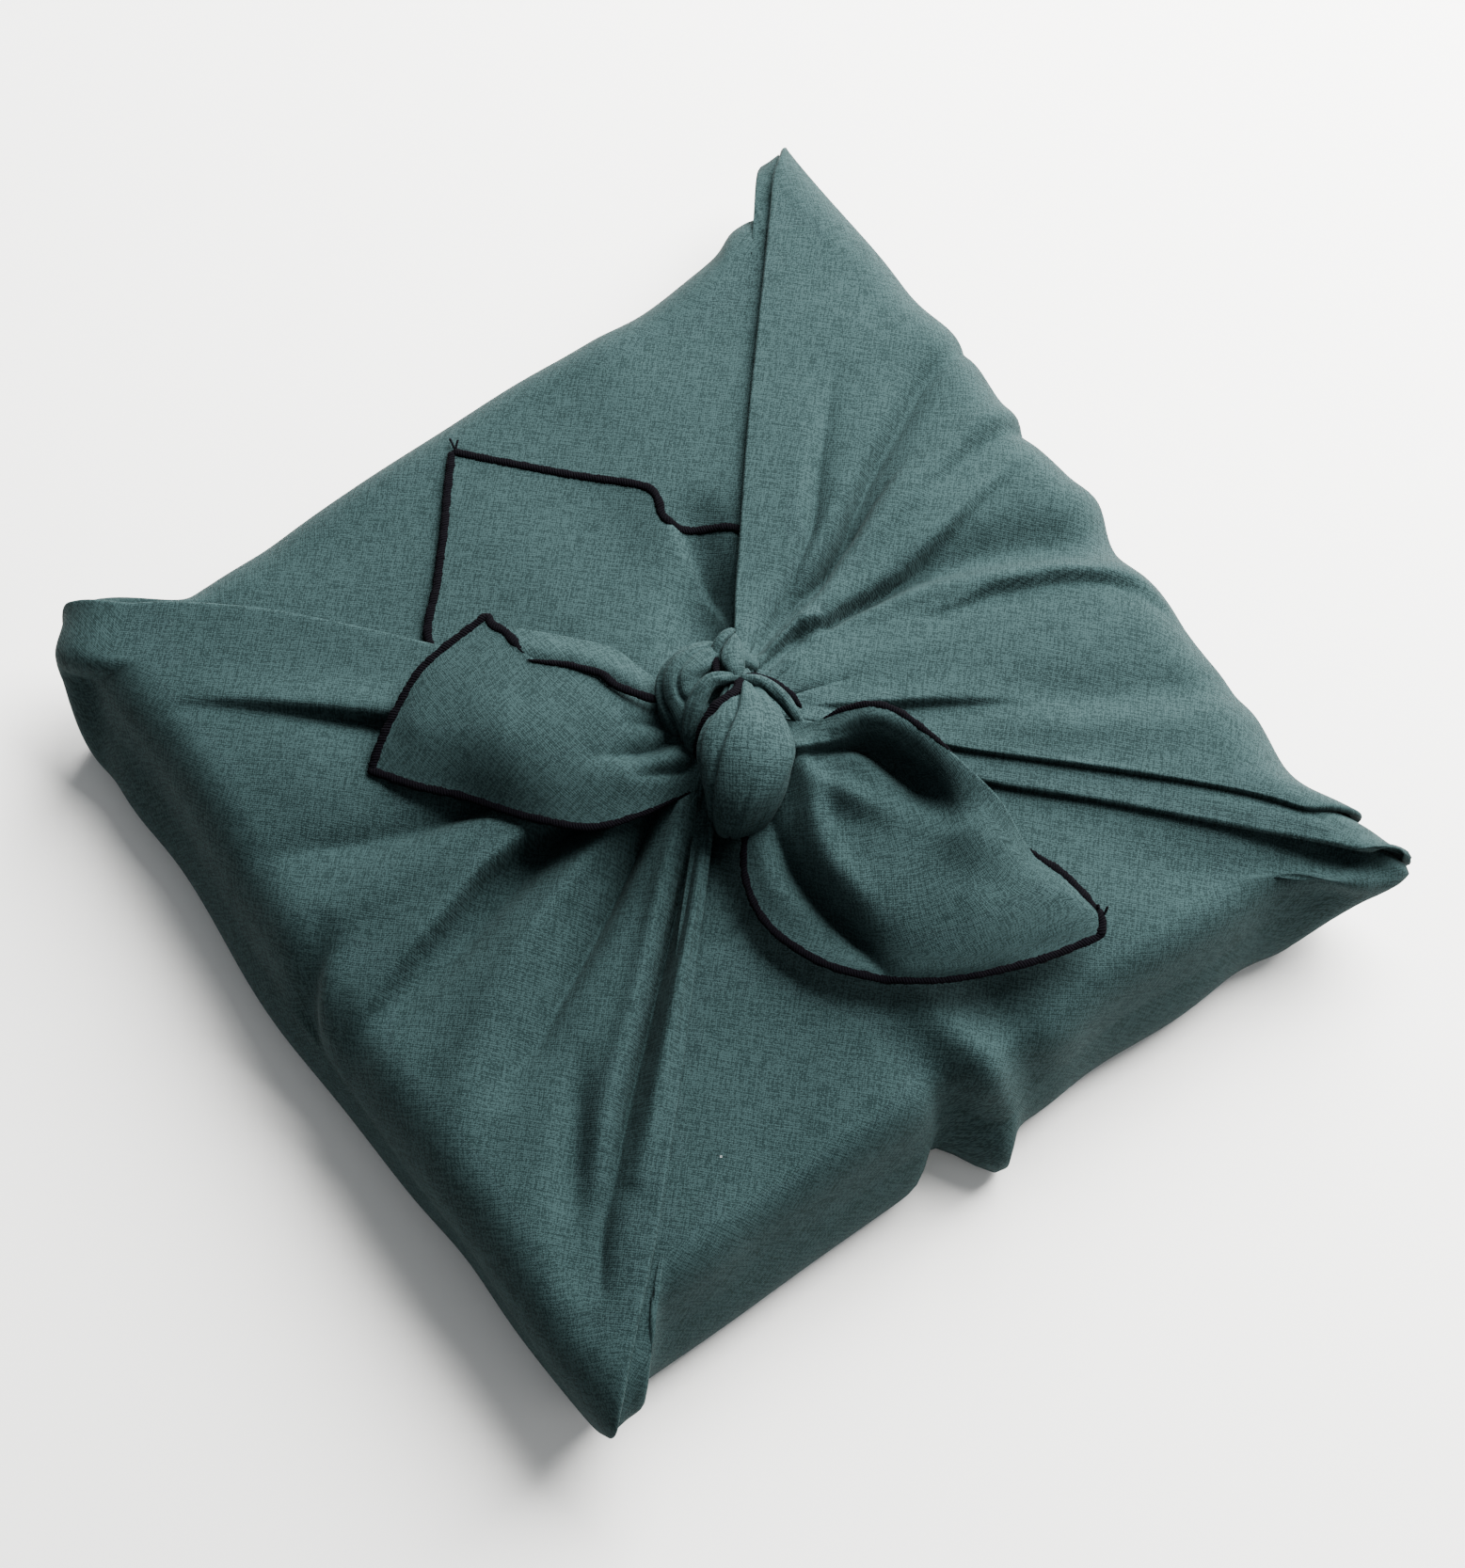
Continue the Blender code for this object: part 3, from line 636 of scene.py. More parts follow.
def weave_group():
    """Plain weave with slubs. Warp and weft threads are |sin| ridges across the cloth map, and
    each comes on top in turn where the product of the two cosines changes sign. Long streaks of
    noise make threads thicker and paler here and there. The shade is that tone plus painted
    shade: the weave's height darkens the gaps between threads. Outputs a shade, a height and
    specks."""
    tree = bpy.data.node_groups.new("linen weave", "ShaderNodeTree")
    for name, way, kind in (("Cloth", "INPUT", "Vector"), ("Threads per metre", "INPUT", "Float"),
                            ("Shade", "OUTPUT", "Float"), ("Height", "OUTPUT", "Float"),
                            ("Specks", "OUTPUT", "Float")):
        tree.interface.new_socket(name, in_out=way, socket_type="NodeSocket" + kind)
    maths = partial(math_node, tree)
    enter = tree.nodes.new("NodeGroupInput")
    leave = tree.nodes.new("NodeGroupOutput")
    cloth = enter.outputs["Cloth"]
    bend = node(tree, "ShaderNodeVectorMath", operation="MULTIPLY_ADD")
    for socket, value in zip(bend.inputs, (flat_noise(tree, cloth, 60.0, 2.0).outputs["Color"],
                                           THREAD_WOBBLE, cloth)):
        plug(tree, socket, value)
    bent = bend.outputs[0]
    split = node(tree, "ShaderNodeSeparateXYZ", Vector=bent)
    scale = maths("MULTIPLY", enter.outputs["Threads per metre"], math.pi)
    phases = [maths("MULTIPLY", split.outputs[axis], scale) for axis in (0, 1)]
    warp, weft = (maths("ABSOLUTE", maths("SINE", phase)) for phase in phases)
    over = maths("MULTIPLY", *(maths("COSINE", phase) for phase in phases))
    over = maths("MULTIPLY_ADD", over, 1.6, 0.5, clamp=True)
    height = maths("ADD", maths("MULTIPLY", warp, over),
                   maths("MULTIPLY", weft, maths("SUBTRACT", 1.0, over)))
    slubs, coarse = (maths("ADD", streaks(tree, bent, short, long, detail),
                           streaks(tree, bent, long, short, detail))
                     for short, long, detail in ((1400.0, 130.0, 3.0), (420.0, 40.0, 2.0)))
    mottle = streaks(tree, cloth, 45.0, 45.0, 4.0)
    grain = streaks(tree, cloth, 1500.0, 1500.0, 2.0)
    # Slubs, mottle and grain are the threads' own tone; the height term is painted shade, darker in
    # the gaps between threads and lighter on their crowns.
    shade = 0.5
    for layer, middle, size in ((slubs, 1.0, 2.4), (coarse, 1.0, 0.22), (height, 0.55, 0.7),
                                (mottle, 0.5, 0.3), (grain, 0.5, 4.2)):
        shade = maths("MULTIPLY_ADD", maths("SUBTRACT", layer, middle), size, shade)
    lint = node(tree, "ShaderNodeTexVoronoi", voronoi_dimensions="2D", Vector=cloth, Scale=30.0)
    specks = maths("MULTIPLY", maths("GREATER_THAN", lint.outputs["Color"], 0.86),
                   maths("LESS_THAN", lint.outputs["Distance"], 0.012))
    plug(tree, leave.inputs["Shade"], shade)
    plug(tree, leave.inputs["Height"], maths("MULTIPLY_ADD", slubs, 0.7, height))
    plug(tree, leave.inputs["Specks"], specks)
    return tree


def two_tone(tree, factor, dark, light):
    """Mixes two colours by a factor socket."""
    mix = node(tree, "ShaderNodeMix", data_type="RGBA", A=dark, B=light, Factor=factor)
    return mix.outputs["Result"]


def new_material(name):
    """A new material and its node tree."""
    material = bpy.data.materials.new(name)
    material.use_nodes = True
    return material, material.node_tree


def finished(material, values):
    """The material with its Principled shader's inputs plugged in."""
    tree = material.node_tree
    for key, value in values.items():
        plug(tree, tree.nodes["Principled BSDF"].inputs[key], value)
    return material


def cloth_material(name, settings):
    """Woven linen: the weave's shade, which holds painted shade between the threads, mixes the two
    thread colours and its height is a bump.
    """
    material, tree = new_material(name)
    cloth = node(tree, "ShaderNodeUVMap", uv_map="cloth")
    weave = node(tree, "ShaderNodeGroup", node_tree=weave_group(), Cloth=cloth.outputs["UV"])
    weave.inputs["Threads per metre"].default_value = THREADS_PER_METRE
    colour = two_tone(tree, weave.outputs["Shade"], (*settings.linen_dark, 1.0),
                      (*settings.linen_light, 1.0))
    height = weave.outputs["Height"]
    bump = node(tree, "ShaderNodeBump", Strength=0.55, Distance=0.00016, Height=height)
    return finished(material, {
        "Base Color": two_tone(tree, weave.outputs["Specks"], colour, LINT_COLOUR),
        "Roughness": math_node(tree, "MULTIPLY_ADD", height, -0.06, 0.95),
        "Normal": bump.outputs["Normal"],
        "Specular IOR Level": 0.08,
        "Sheen Weight": 0.015,
        "Sheen Roughness": 0.45,
        "Sheen Tint": (0.75, 0.95, 0.92, 1.0),
    })


def hem_material(name, settings):
    """Overlocked thread: slanting stitches across the hem, each a rounded ridge, with fuzz. Its
    colour is painted light and shade on one black thread, lighter on the stitches' ridges and
    darker between them, with the fuzz's noise mixed in.
    """
    material, tree = new_material(name)
    maths = partial(math_node, tree)
    cloth = node(tree, "ShaderNodeUVMap", uv_map="cloth").outputs["UV"]
    split = node(tree, "ShaderNodeSeparateXYZ", Vector=cloth)
    slant = maths("MULTIPLY_ADD", split.outputs[1], 0.35, split.outputs[0])
    stitch = maths("ABSOLUTE", maths("SINE", maths("MULTIPLY", slant, math.pi / STITCH_LENGTH)))
    height = maths("ADD", stitch, flat_noise(tree, cloth, 2600.0, 3.0).outputs["Fac"])
    bump = node(tree, "ShaderNodeBump", Strength=0.9, Distance=0.0003, Height=height)
    return finished(material, {
        # Painted shade and light: the stitch height sets the colour, darker between the stitches
        # and lighter on their ridges.
        "Base Color": two_tone(tree, maths("MULTIPLY", height, 0.5), (*settings.hem_shaded_colour, 1.0),
                               (*settings.hem_lit_colour, 1.0)),
        "Normal": bump.outputs["Normal"],
        "Roughness": 0.95,
        "Specular IOR Level": 0.03,
    })


FINISHES = {"linen": ("woven linen", cloth_material), "hem": ("hem thread", hem_material)}


def finish(slot):
    """The material of a slot, built the first time it is asked for."""
    name, build = FINISHES[slot]
    return bpy.data.materials.get(name) or build(name, bpy.context.scene.wrap_colours)


# ---- the body

def body_piece():
    """The parcel's own cloth: rings round the knot, out over the panels, down the sides, in under
    the base. On top, point = knot + scale * (outline - knot) at the dome's height; the folds then
    stand along the normal, fading down the shoulder. Under the fans it sinks to leave room for
    their troughs."""
    column = clustered(BODY_COLUMNS, 0.6, endpoint=False)
    turn = (np.arange(4)[:, None] + column).ravel()
    scales = np.linspace(0.02, SHOULDER_SCALE, BODY_ROWS)
    edge = outline(turn, EDGE_HEIGHT, smooth(scales, 0.6, SHOULDER_SCALE)[:, None])
    top_xy = from_knot(edge, scales[:, None, None])
    sides, share = side_rows(turn, BODY_SIDE_ROWS)
    under = [raised(from_knot(outline(turn, 0.0), scale), np.zeros(len(turn)))
             for scale in (0.9, 0.75, 0.5, 0.2)]
    grid = np.concatenate([raised(top_xy, dome(top_xy)), sides, under])
    fade = np.concatenate([np.ones(BODY_ROWS), share ** 0.6, np.zeros(len(under))])[:, None]
    height = fold_height("wrapped_body", grid[..., :2]) + unevenness(grid[..., :2], 0.5, 0.4)
    reach = np.concatenate([scales, np.ones(len(sides) + len(under))])[:, None]
    from_corner = np.minimum(turn % 1, 1 - turn % 1) * 2 * PARCEL_HALF.mean() * reach
    height -= FAN_ROOM * smooth(from_corner, 2, 17) * (np.floor(turn) % 2)
    grid = grid + normals(grid, True) * (height * fade)[..., None]
    cloth_map = plan_map(grid, BODY_ROWS, SIDE_WAYS[turn.astype(int)])
    ends = [[*KNOT, CROWN_HEIGHT], [*KNOT, 0.0]]
    return closed_object("wrapped_body", grid, ends, cloth_map, "linen")


# ---- the fans

def gathers(across, reach, number, phase):
    """Small uneven pleats at the neck: size * (sqrt|sin| - 0.6) of a warped share across, largest
    at the knot and gone 90 mm out."""
    warped = across * number + 0.3 * np.sin(across * 11.0 + phase) + 0.2 * np.sin(across * 23.0)
    size = GATHER_HEIGHT * np.exp(-(np.maximum(reach - 18, 0) / 24.0) ** 2)
    return size * (np.sqrt(np.abs(np.sin(math.pi * warped + phase))) - 0.6)


def rolled_edge(grid, edge, inner, facing, size):
    """Columns that turn a sheet's edge under: a half circle, then a run back inwards, both times a
    size for each row."""
    out = unit(grid[:, edge] - grid[:, inner])
    up = facing[:, edge]
    out = unit(out - (out * up).sum(-1, keepdims=True) * up)
    turned = [FOLD_RADIUS * (out * math.sin(angle) - up * (1 - math.cos(angle)))
              for angle in np.linspace(0, math.pi, 8)[1:]]
    back = [-out * run - up * 2 * FOLD_RADIUS for run in (2.0, 4.0, FOLD_UNDER)]
    return grid[:, edge, None] + size[:, None, None] * np.stack(turned + back, 1)


def fan_edge(crease, end, along):
    """A fan's edge in plan: its crease and its end on the rim, at shares of the length."""
    points = np.array(CREASES[crease] + (tuple(end),), float)
    reach = lengths(points)
    return spline(points, np.interp(along * reach[-1], reach, np.arange(len(points))))


def fan_piece(name, side, share_from, share_to, first, last, roll_first, roll_last,
              lift_first, lift_last):
    """One gathered fan: a patch between its two edges (each edge blended across, plus each end
    blended along, less the corners) continued down its side, then lifted along the normal by its
    layer and folds. An edge that shows turns under."""
    whole = share_to - share_from > 0.5
    across = clustered(FAN_COLUMNS, 0.6) if whole else clustered(TUCK_COLUMNS, 0.3)
    along = np.linspace(0, 1, FAN_ROWS)
    turn = np.clip(side + share_from + across * (share_to - share_from), side, side + 1 - 1e-6)
    rim = rim_point(turn)
    start, end = fan_edge(first, rim[0], along), fan_edge(last, rim[-1], along)
    over, out = across[None, :, None], along[:, None, None]
    neck = blend(start[0], end[0], over)
    xy = blend(start[:, None], end[:, None], over) + blend(neck, rim, out) \
        - blend(neck, blend(start[-1], end[-1], over), out)
    sides, share = side_rows(turn, FAN_SIDE_ROWS)
    grid = np.concatenate([raised(xy, dome(xy)), sides])
    top, end = FAN_ROWS - 14, FAN_ROWS + 12   # the rows over the shoulder are evened out
    for _ in range(10):
        grid[top:end] = (grid[top - 1:end - 1] + 2 * grid[top:end] + grid[top + 1:end + 1]) / 4
    reach = np.linalg.norm(grid[..., :2] - KNOT, axis=-1)
    fade = np.concatenate([np.ones(FAN_ROWS), share ** 0.6])[:, None]
    grid[..., 2] += NECK_RISE * np.exp(-(reach / NECK_REACH) ** 2)
    low = smooth(grid[..., 2], 0.0, EDGE_HEIGHT - 6)
    lift = (lift_first + (lift_last - lift_first) * smooth(across, 0, 0.3))[None]
    lift = FAN_FOOT + (lift - FAN_FOOT) * low ** 0.7
    height = fold_height(name, grid[..., :2]) * smooth(reach, 8, 30)
    if whole:
        height += gathers(across[None], reach, 6, side) * (1.0 if name == "fan_far" else 0.5)
    height += unevenness(grid[..., :2], 0.45, side)
    length = np.linalg.norm(rim[-1] - rim[0])
    edge_fade = smooth(across * length, 0, 8 * roll_first + 1e-3) \
        * smooth((1 - across) * length, 0, 8 * roll_last + 1e-3)
    height = height * fade * (0.3 + 0.7 * edge_fade[None])
    grid = grid + normals(grid) * (lift + height)[..., None]
    facing = normals(grid)
    parts = [grid]
    size = np.concatenate([np.ones(FAN_ROWS), 0.2 + 0.8 * share])
    if roll_first:
        parts.insert(0, rolled_edge(grid, 0, 1, facing, size)[:, ::-1])
    if roll_last:
        parts.append(rolled_edge(grid, -1, -2, facing, size))
    grid = np.concatenate(parts, 1)
    return sheet_object(name, grid, plan_map(grid, FAN_ROWS, SIDE_WAYS[side]))


# ---- the hemmed tip of the upper panel

# Its left and right borders in plan, from the tip: the hem, then a hidden run to the knot
FLAP_LEFT = ((-10, 132), (-19.5, 120.5), (-29, 108.5), (-42, 93.5), (-55.5, 77.5), (-49, 58),
             (-34, 36), (-20, 12), (-10, -2))
FLAP_RIGHT = ((-10, 132), (-2, 121.5), (14, 102), (30, 83), (32, 76), (29.5, 69), (32.5, 64),
              (47, 51), (38, 36), (26, 22), (12, 4))
FLAP_HEM_LEFT = 4.4    # places along each border where its hem goes under a fan
FLAP_HEM_RIGHT = 7.4
FLAP_LIFT = 0.9
FLAP_ROWS = 170
FLAP_COLUMNS = 130
FLAP_HEM_POINTS = 140


def flap_piece():
    """The tip: a ruled surface between its two borders, a little above the panel, with one lapped
    fold that runs from the jog in its right hem to the knot. Returns it and its hems' paths."""
    left, right = curve(FLAP_LEFT, FLAP_ROWS), curve(FLAP_RIGHT, FLAP_ROWS)
    across = np.linspace(0, 1, FLAP_COLUMNS)[None, :, None]
    xy = blend(left[:, None], right[:, None], across)
    piece = sheet_object("flap_tip", raised(xy, flap_level(xy)), threads(xy * MM))
    paths = (curve(FLAP_LEFT, FLAP_HEM_POINTS, FLAP_HEM_LEFT),
             curve(FLAP_RIGHT, FLAP_HEM_POINTS, FLAP_HEM_RIGHT))
    return piece, [raised(path, flap_level(path) + 0.3) for path in paths]


def flap_level(xy):
    """Height of the hemmed tip at plan points."""
    return dome(xy) + FLAP_LIFT + fold_height("flap_tip", xy) * smooth(xy[..., 1], 10, 40) \
        + unevenness(xy, 0.2, 1.7)


# ---- free ends

# Sections of the free ends from the knot outwards, each from one border to the other: x, y, z
LEFT_END = (
    ((-12, -17, 62), (-10, -11, 66), (-8, -7, 68), (-7, -2, 69), (-5, 6, 66)),
    ((-29, -15, 64.5), (-25, -9, 68.5), (-22, -1, 69.5), (-18, 5, 69), (-13, 12, 66.5)),
    ((-38.5, -13.5, 65.5), (-35.5, -4.5, 69), (-30.5, 4.5, 70.5), (-24, 14, 71), (-18.5, 20, 69)),
    ((-53, -8, 65.5), (-48, 3.5, 69), (-42.5, 14.5, 70.5), (-35.5, 24, 71), (-25.5, 35.5, 69)),
    ((-64.5, 5.5, 63), (-60.5, 16.5, 66.5), (-55.5, 27.5, 68.5), (-48.5, 38.5, 69),
     (-35.5, 47, 68)),
    ((-76, 25, 58), (-72, 34.5, 62), (-66, 44.5, 65), (-56, 53.5, 66.5), (-37, 60.5, 66)),
    ((-87, 38.5, 56.5), (-81.5, 47, 59.5), (-75, 54.5, 62.5), (-60, 62.5, 64.5), (-38.5, 65, 65)),
    ((-95, 51.5, 54.5), (-86.5, 57, 57.5), (-77.5, 61.5, 60), (-63, 67.5, 62.5), (-38, 69.5, 64)),
)
LEFT_BACK = (
    ((-4, 14, 62), (-7, 10, 65), (-11, 7, 64)),
    ((-7.5, 19.5, 63.5), (-12.5, 15.5, 67), (-17, 12.5, 65)),
    ((-10, 27, 64), (-15, 22, 68), (-20, 19, 65.5)),
    ((-13, 37, 64.5), (-19, 32, 68.5), (-25, 27.5, 66)),
    ((-22, 48, 65), (-28, 43, 68.5), (-34, 38.5, 65.5)),
    ((-31, 57.5, 65.5), (-37, 52.5, 67.5), (-42, 47.5, 65)),
    ((-36, 62.5, 65), (-39, 58.5, 66), (-42, 54.5, 65)),
)
RIGHT_END = (
    ((-8, -26, 62), (-3, -25, 66), (2, -22, 69), (8, -18, 71), (12, -12, 70)),
    ((-16, -37, 63), (-8, -38, 67), (2, -36, 71), (12, -29, 73), (19, -23, 74)),
    ((-23, -46, 61), (-12, -49, 66), (2, -48, 72), (17, -40, 76), (29, -28, 80)),
    ((-27, -58, 60), (-14, -61, 64), (2, -62, 72), (23, -52, 77), (37, -36, 84)),
    ((-26, -71, 60), (-12, -75, 63), (4, -77, 71), (27, -68, 75), (43, -54, 84)),
    ((-18, -88, 60), (-7, -91, 63), (8, -92, 68), (30, -84, 72), (49, -76, 77)),
    ((2, -107, 60), (10, -108, 63), (22, -106, 66), (38, -100, 68), (49, -93, 67)),
    ((29, -120, 60), (36, -119, 61), (43, -115, 63), (50, -109, 64), (53.5, -104, 62)),
    ((51, -126, 60), (52.5, -125, 60.5), (54, -123.5, 60.5), (55, -121.5, 60.5), (55.5, -119, 60)),
)

# Counts of points along and across them
LEFT_COUNTS = (110, 90)
BACK_COUNTS = (70, 30)
RIGHT_COUNTS = (150, 130)


def end_piece(name, sections, counts):
    """A free end: a surface lofted through its sections, with its folds added upwards. Returns it
    and its grid, whose columns run from one border to the other."""
    grid = lofted(sections, *counts)
    if normals(grid)[..., 2].mean() < 0:
        grid = grid[:, ::-1]
    grid[..., 2] += fold_height(name, grid[..., :2])
    return sheet_object(name, grid, arc_map(grid)), grid


# ---- the knot

# Bands of the knot: name, then rows of x, y, z of the middle line, half width, half thickness
BANDS = {
    "knot_core": ((-16, -9, 56, 12, 6), (-6, -7, 62, 15, 10), (6, -5, 62, 15, 10),
     (15, -3, 57, 12, 6)),
    "knot_front": ((13, 5, 69, 3, 3), (8, -3, 75, 6.5, 5), (3, -12, 78, 12, 7),
     (-3, -19.5, 78.5, 15, 8.5), (-9, -26.5, 75.5, 13.5, 8.5), (-13, -30.5, 70.5, 11, 7.5),
     (-15.5, -32, 63, 8.5, 6), (-14, -29, 55, 6, 4)),
    "knot_side": ((8.5, 0.7, 79, 1.2, 1.4), (4.8, 2.7, 80, 2.2, 2.2), (0.9, 4, 80, 2.6, 2.6),
     (-3.6, 2.9, 79, 2.9, 2.8), (-8.2, 0.2, 77, 3, 2.8), (-12.6, -4.4, 72, 2.6, 2.6),
     (-13, -9, 62, 2, 2.2)),
    "knot_back": ((18, 8, 62, 6, 4), (11, 13, 69, 7, 5), (3, 14.5, 72, 8.5, 6),
     (-4, 13, 73, 8.5, 6), (-8, 8, 72, 8, 6), (-9, 0, 69, 8, 6), (-7, -5, 60, 7, 5)),
    "knot_lobe": ((8.3, 0.5, 79, 1.2, 1.2), (9.9, 3.8, 79, 3.2, 2), (12.1, 8, 78, 3.7, 2.2),
     (15.6, 12, 75.5, 2.4, 1.8), (17.9, 14.9, 73, 0.8, 0.8)),
    "knot_rim": ((6.1, 10.1, 74, 1.2, 1.4), (9.3, 12.9, 76, 1.7, 1.8), (13.4, 14.9, 76.5, 1.6, 1.8),
     (16.7, 15.6, 75.5, 1.2, 1.4), (18.6, 16, 74, 0.5, 0.6)),
    "knot_right": ((9.6, 0.1, 78.5, 1.2, 1.4), (13.1, -3.2, 77.5, 1.9, 2),
     (15.4, -7.1, 76.5, 2.2, 2.2), (16.8, -12.4, 74.5, 2.1, 2.2), (17.1, -18, 72, 1.7, 1.8),
     (17.2, -22, 69, 1.2, 1.4)),
}

# Grooves that run along a band: name, angle round it in degrees at its start and at its end, half
# width in degrees, depth
GROOVES = (
    ("knot_front", 82, -2, 5, 2.3),
    ("knot_front", 124, 66, 3.5, 1.0),
    ("knot_front", 46, -40, 4, 1.2),
    ("knot_front", 112, 128, 20, 0.6),
    ("knot_front", 60, 8, 14, 0.5),
    ("knot_back", 78, 66, 8, 1.8),
    ("knot_back", 112, 128, 7, 1.5),
    ("knot_back", 40, 34, 10, 0.7),
    ("knot_core", 60, 60, 12, 1.5),
    ("knot_core", 110, 110, 12, 1.5),
    ("knot_side", 90, 100, 16, 0.5),
)


def band_piece(name, rows):
    """A band of the knot: an ellipse whose size follows the table, carried along a spline with
    its depth pointing away from the knot's heart, less its grooves."""
    line = curve(rows, BAND_POINTS)
    path = line[:, :3]
    angle = np.degrees(np.linspace(0, 2 * math.pi, BAND_SIDES, endpoint=False))
    turn = np.radians(angle)[None]
    along = np.linspace(0, 1, BAND_POINTS)[:, None]
    groove = np.zeros((BAND_POINTS, BAND_SIDES))
    for band, begin, finish, half_width, depth in GROOVES:
        if band == name:
            middle = begin + (finish - begin) * along + 4 * np.sin(5 * along)
            groove += depth * np.exp(-((angle[None] - middle) / half_width) ** 2)
    groove += 0.05 * line[:, 3:4] * np.sin(3 * turn + 8 * along) \
        * np.sin(11 * along + 2 * turn + len(name))
    shape = tube(path, line[:, 3], line[:, 4], BAND_SIDES, unit(path - KNOT_HEART), groove)
    return closed_object(name, *shape, "linen")


# ---- hems

def hem_piece(name, path, seed, share=1.0, taper=(0, 0)):
    """A hem along a path in mm: a flattened tube, share of the hem's width across, whose surface
    is as uneven as overlocked thread. Over a taper's length at its start or end its width and
    depth grow from 0.2 of their size as the square root of the distance."""
    width = bpy.context.scene.wrap_sizes.hem_width / MM / 2 * share
    path = np.asarray(path, float)
    length = lengths(path)
    count = max(int(length[-1] / HEM_STEP), 12)
    even = np.linspace(0, length[-1], count)
    path = np.stack([np.interp(even, length, path[:, axis]) for axis in range(3)], 1)
    for _ in range(3):
        path[1:-1] = (path[:-2] + 2 * path[1:-1] + path[2:]) / 4
    random = np.random.default_rng(seed)
    swell = 1 + 0.06 * np.sin(even * 0.9 + seed) + 0.05 * random.standard_normal(count)
    for gap, reach in zip((even, even[-1] - even), taper):
        swell *= 0.2 + 0.8 * np.sqrt(np.clip(gap / max(reach, 0.01), 0, 1))
    loops = 0.16 * width * random.random((count, HEM_SIDES))
    swell *= width
    shape = tube(path, swell, HEM_FLATNESS * swell, HEM_SIDES, (0.0, 0.0, 1.0), loops)
    return closed_object(name, *shape, "hem")


# ---- stage

# The camera, in mm and degrees in the tables' frame
CAMERA_AZIMUTH = -36.44
CAMERA_ELEVATION = 68.4
CAMERA_DISTANCE = 993.0
CAMERA_TARGET = (-0.6, -9.3, 25.0)
FOCAL_PIXELS = 3300.0
IMAGE_HEIGHT = 1667.0
SENSOR = 36.0
LIGHT_TARGET = (0, 0, 0.03)   # in m, in the frame
FLOOR_HALF = 1.5
FLOOR_DROP = 0.0003           # how far it lies under the wrap


def aimed(name, data, place, back):
    """Adds a camera or a light at a place, with the direction back behind it."""
    thing = bpy.data.objects.new(name, data)
    thing.location = place
    thing.rotation_euler = back.to_track_quat("Z", "Y").to_euler()
    bpy.context.scene.collection.objects.link(thing)
    return thing


def add_camera():
    """The camera, at target + distance * (sin a cos e, -cos a cos e, sin e) for its azimuth a and
    elevation e, with a lens of focal pixels / image height * sensor."""
    turn, rise = math.radians(CAMERA_AZIMUTH), math.radians(CAMERA_ELEVATION)
    back = Vector((math.sin(turn) * math.cos(rise), -math.cos(turn) * math.cos(rise),
                   math.sin(rise)))
    data = bpy.data.cameras.new("camera")
    data.sensor_width = SENSOR
    data.lens = FOCAL_PIXELS / IMAGE_HEIGHT * SENSOR
    data.clip_start = 0.01
    place = (Vector(CAMERA_TARGET) + Vector(PLAN_SHIFT) + back * CAMERA_DISTANCE) * MM
    bpy.context.scene.camera = aimed("camera", data, place, back)


def add_light(name, place, size, power, colour):
    """A square area light that shines on the middle of the wrap."""
    data = bpy.data.lights.new(name, "AREA")
    data.shape = "SQUARE"
    data.size = size
    data.energy = power
    data.color = colour
    aimed(name, data, place, Vector(place) - Vector(LIGHT_TARGET))


def floor_piece(settings):
    """A plain pale floor, 3 m square."""
    mesh = bpy.data.meshes.new("floor")
    mesh.from_pydata([(x * FLOOR_HALF, y * FLOOR_HALF, -FLOOR_DROP)
                      for x, y in ((-1, -1), (1, -1), (1, 1), (-1, 1))], [], [(0, 1, 2, 3)])
    material, tree = new_material("floor")
    place = tree.nodes.new("ShaderNodeTexCoord").outputs["Object"]
    noise = node(tree, "ShaderNodeTexNoise", Vector=place, Scale=9.0, Detail=5.0)
    pale = settings.floor_colour
    colour = two_tone(tree, noise.outputs["Fac"], (*(part * 0.96 for part in pale), 1.0),
                      (*pale, 1.0))
    mesh.materials.append(finished(material, {"Base Color": colour, "Roughness": 0.9}))
    piece = bpy.data.objects.new("floor", mesh)
    bpy.context.scene.collection.objects.link(piece)
    return piece


# ---- settings, operators, panel

class WrapColours(bpy.types.PropertyGroup):
    """Colours of the cloth, its hem and the floor."""
    linen_dark: bpy.props.FloatVectorProperty(
        name="Linen, dark threads", description="Colour of the darker threads", subtype="COLOR",
        size=3, min=0, max=1, default=(0.0060, 0.0146, 0.0150))
    linen_light: bpy.props.FloatVectorProperty(
        name="Linen, light threads", description="Colour of the paler threads", subtype="COLOR",
        size=3, min=0, max=1, default=(0.0165, 0.0331, 0.0340))
    # The two hem colours are painted shade and painted light on the same black thread: the gaps
    # between stitches take the darker one, the stitches' ridges the lighter one.
    hem_shaded_colour: bpy.props.FloatVectorProperty(
        name="Hem, dark", description="Colour between the hem's stitches", subtype="COLOR",
        size=3, min=0, max=1, default=(0.0005, 0.0005, 0.0008))
    hem_lit_colour: bpy.props.FloatVectorProperty(
        name="Hem, light", description="Colour of the hem's stitches", subtype="COLOR",
        size=3, min=0, max=1, default=(0.0024, 0.0021, 0.0034))
    floor_colour: bpy.props.FloatVectorProperty(
        name="Floor", description="Colour of the floor", subtype="COLOR",
        size=3, min=0, max=1, default=(0.95, 0.95, 0.93))


class WrapSizes(bpy.types.PropertyGroup):
    """Sizes of the cloth."""
    hem_width: bpy.props.FloatProperty(
        name="Hem width", description="Width of the overlocked hem", default=0.003,
        min=0.001, max=0.01, unit="LENGTH")


class WRAP_OT_body(bpy.types.Operator):
    """Adds the wrapped parcel with its two flat panels."""
    bl_idname = "wrap.body"
    bl_label = "Wrapped body"

    def execute(self, context):
        piece = body_piece()
        return {"FINISHED"}


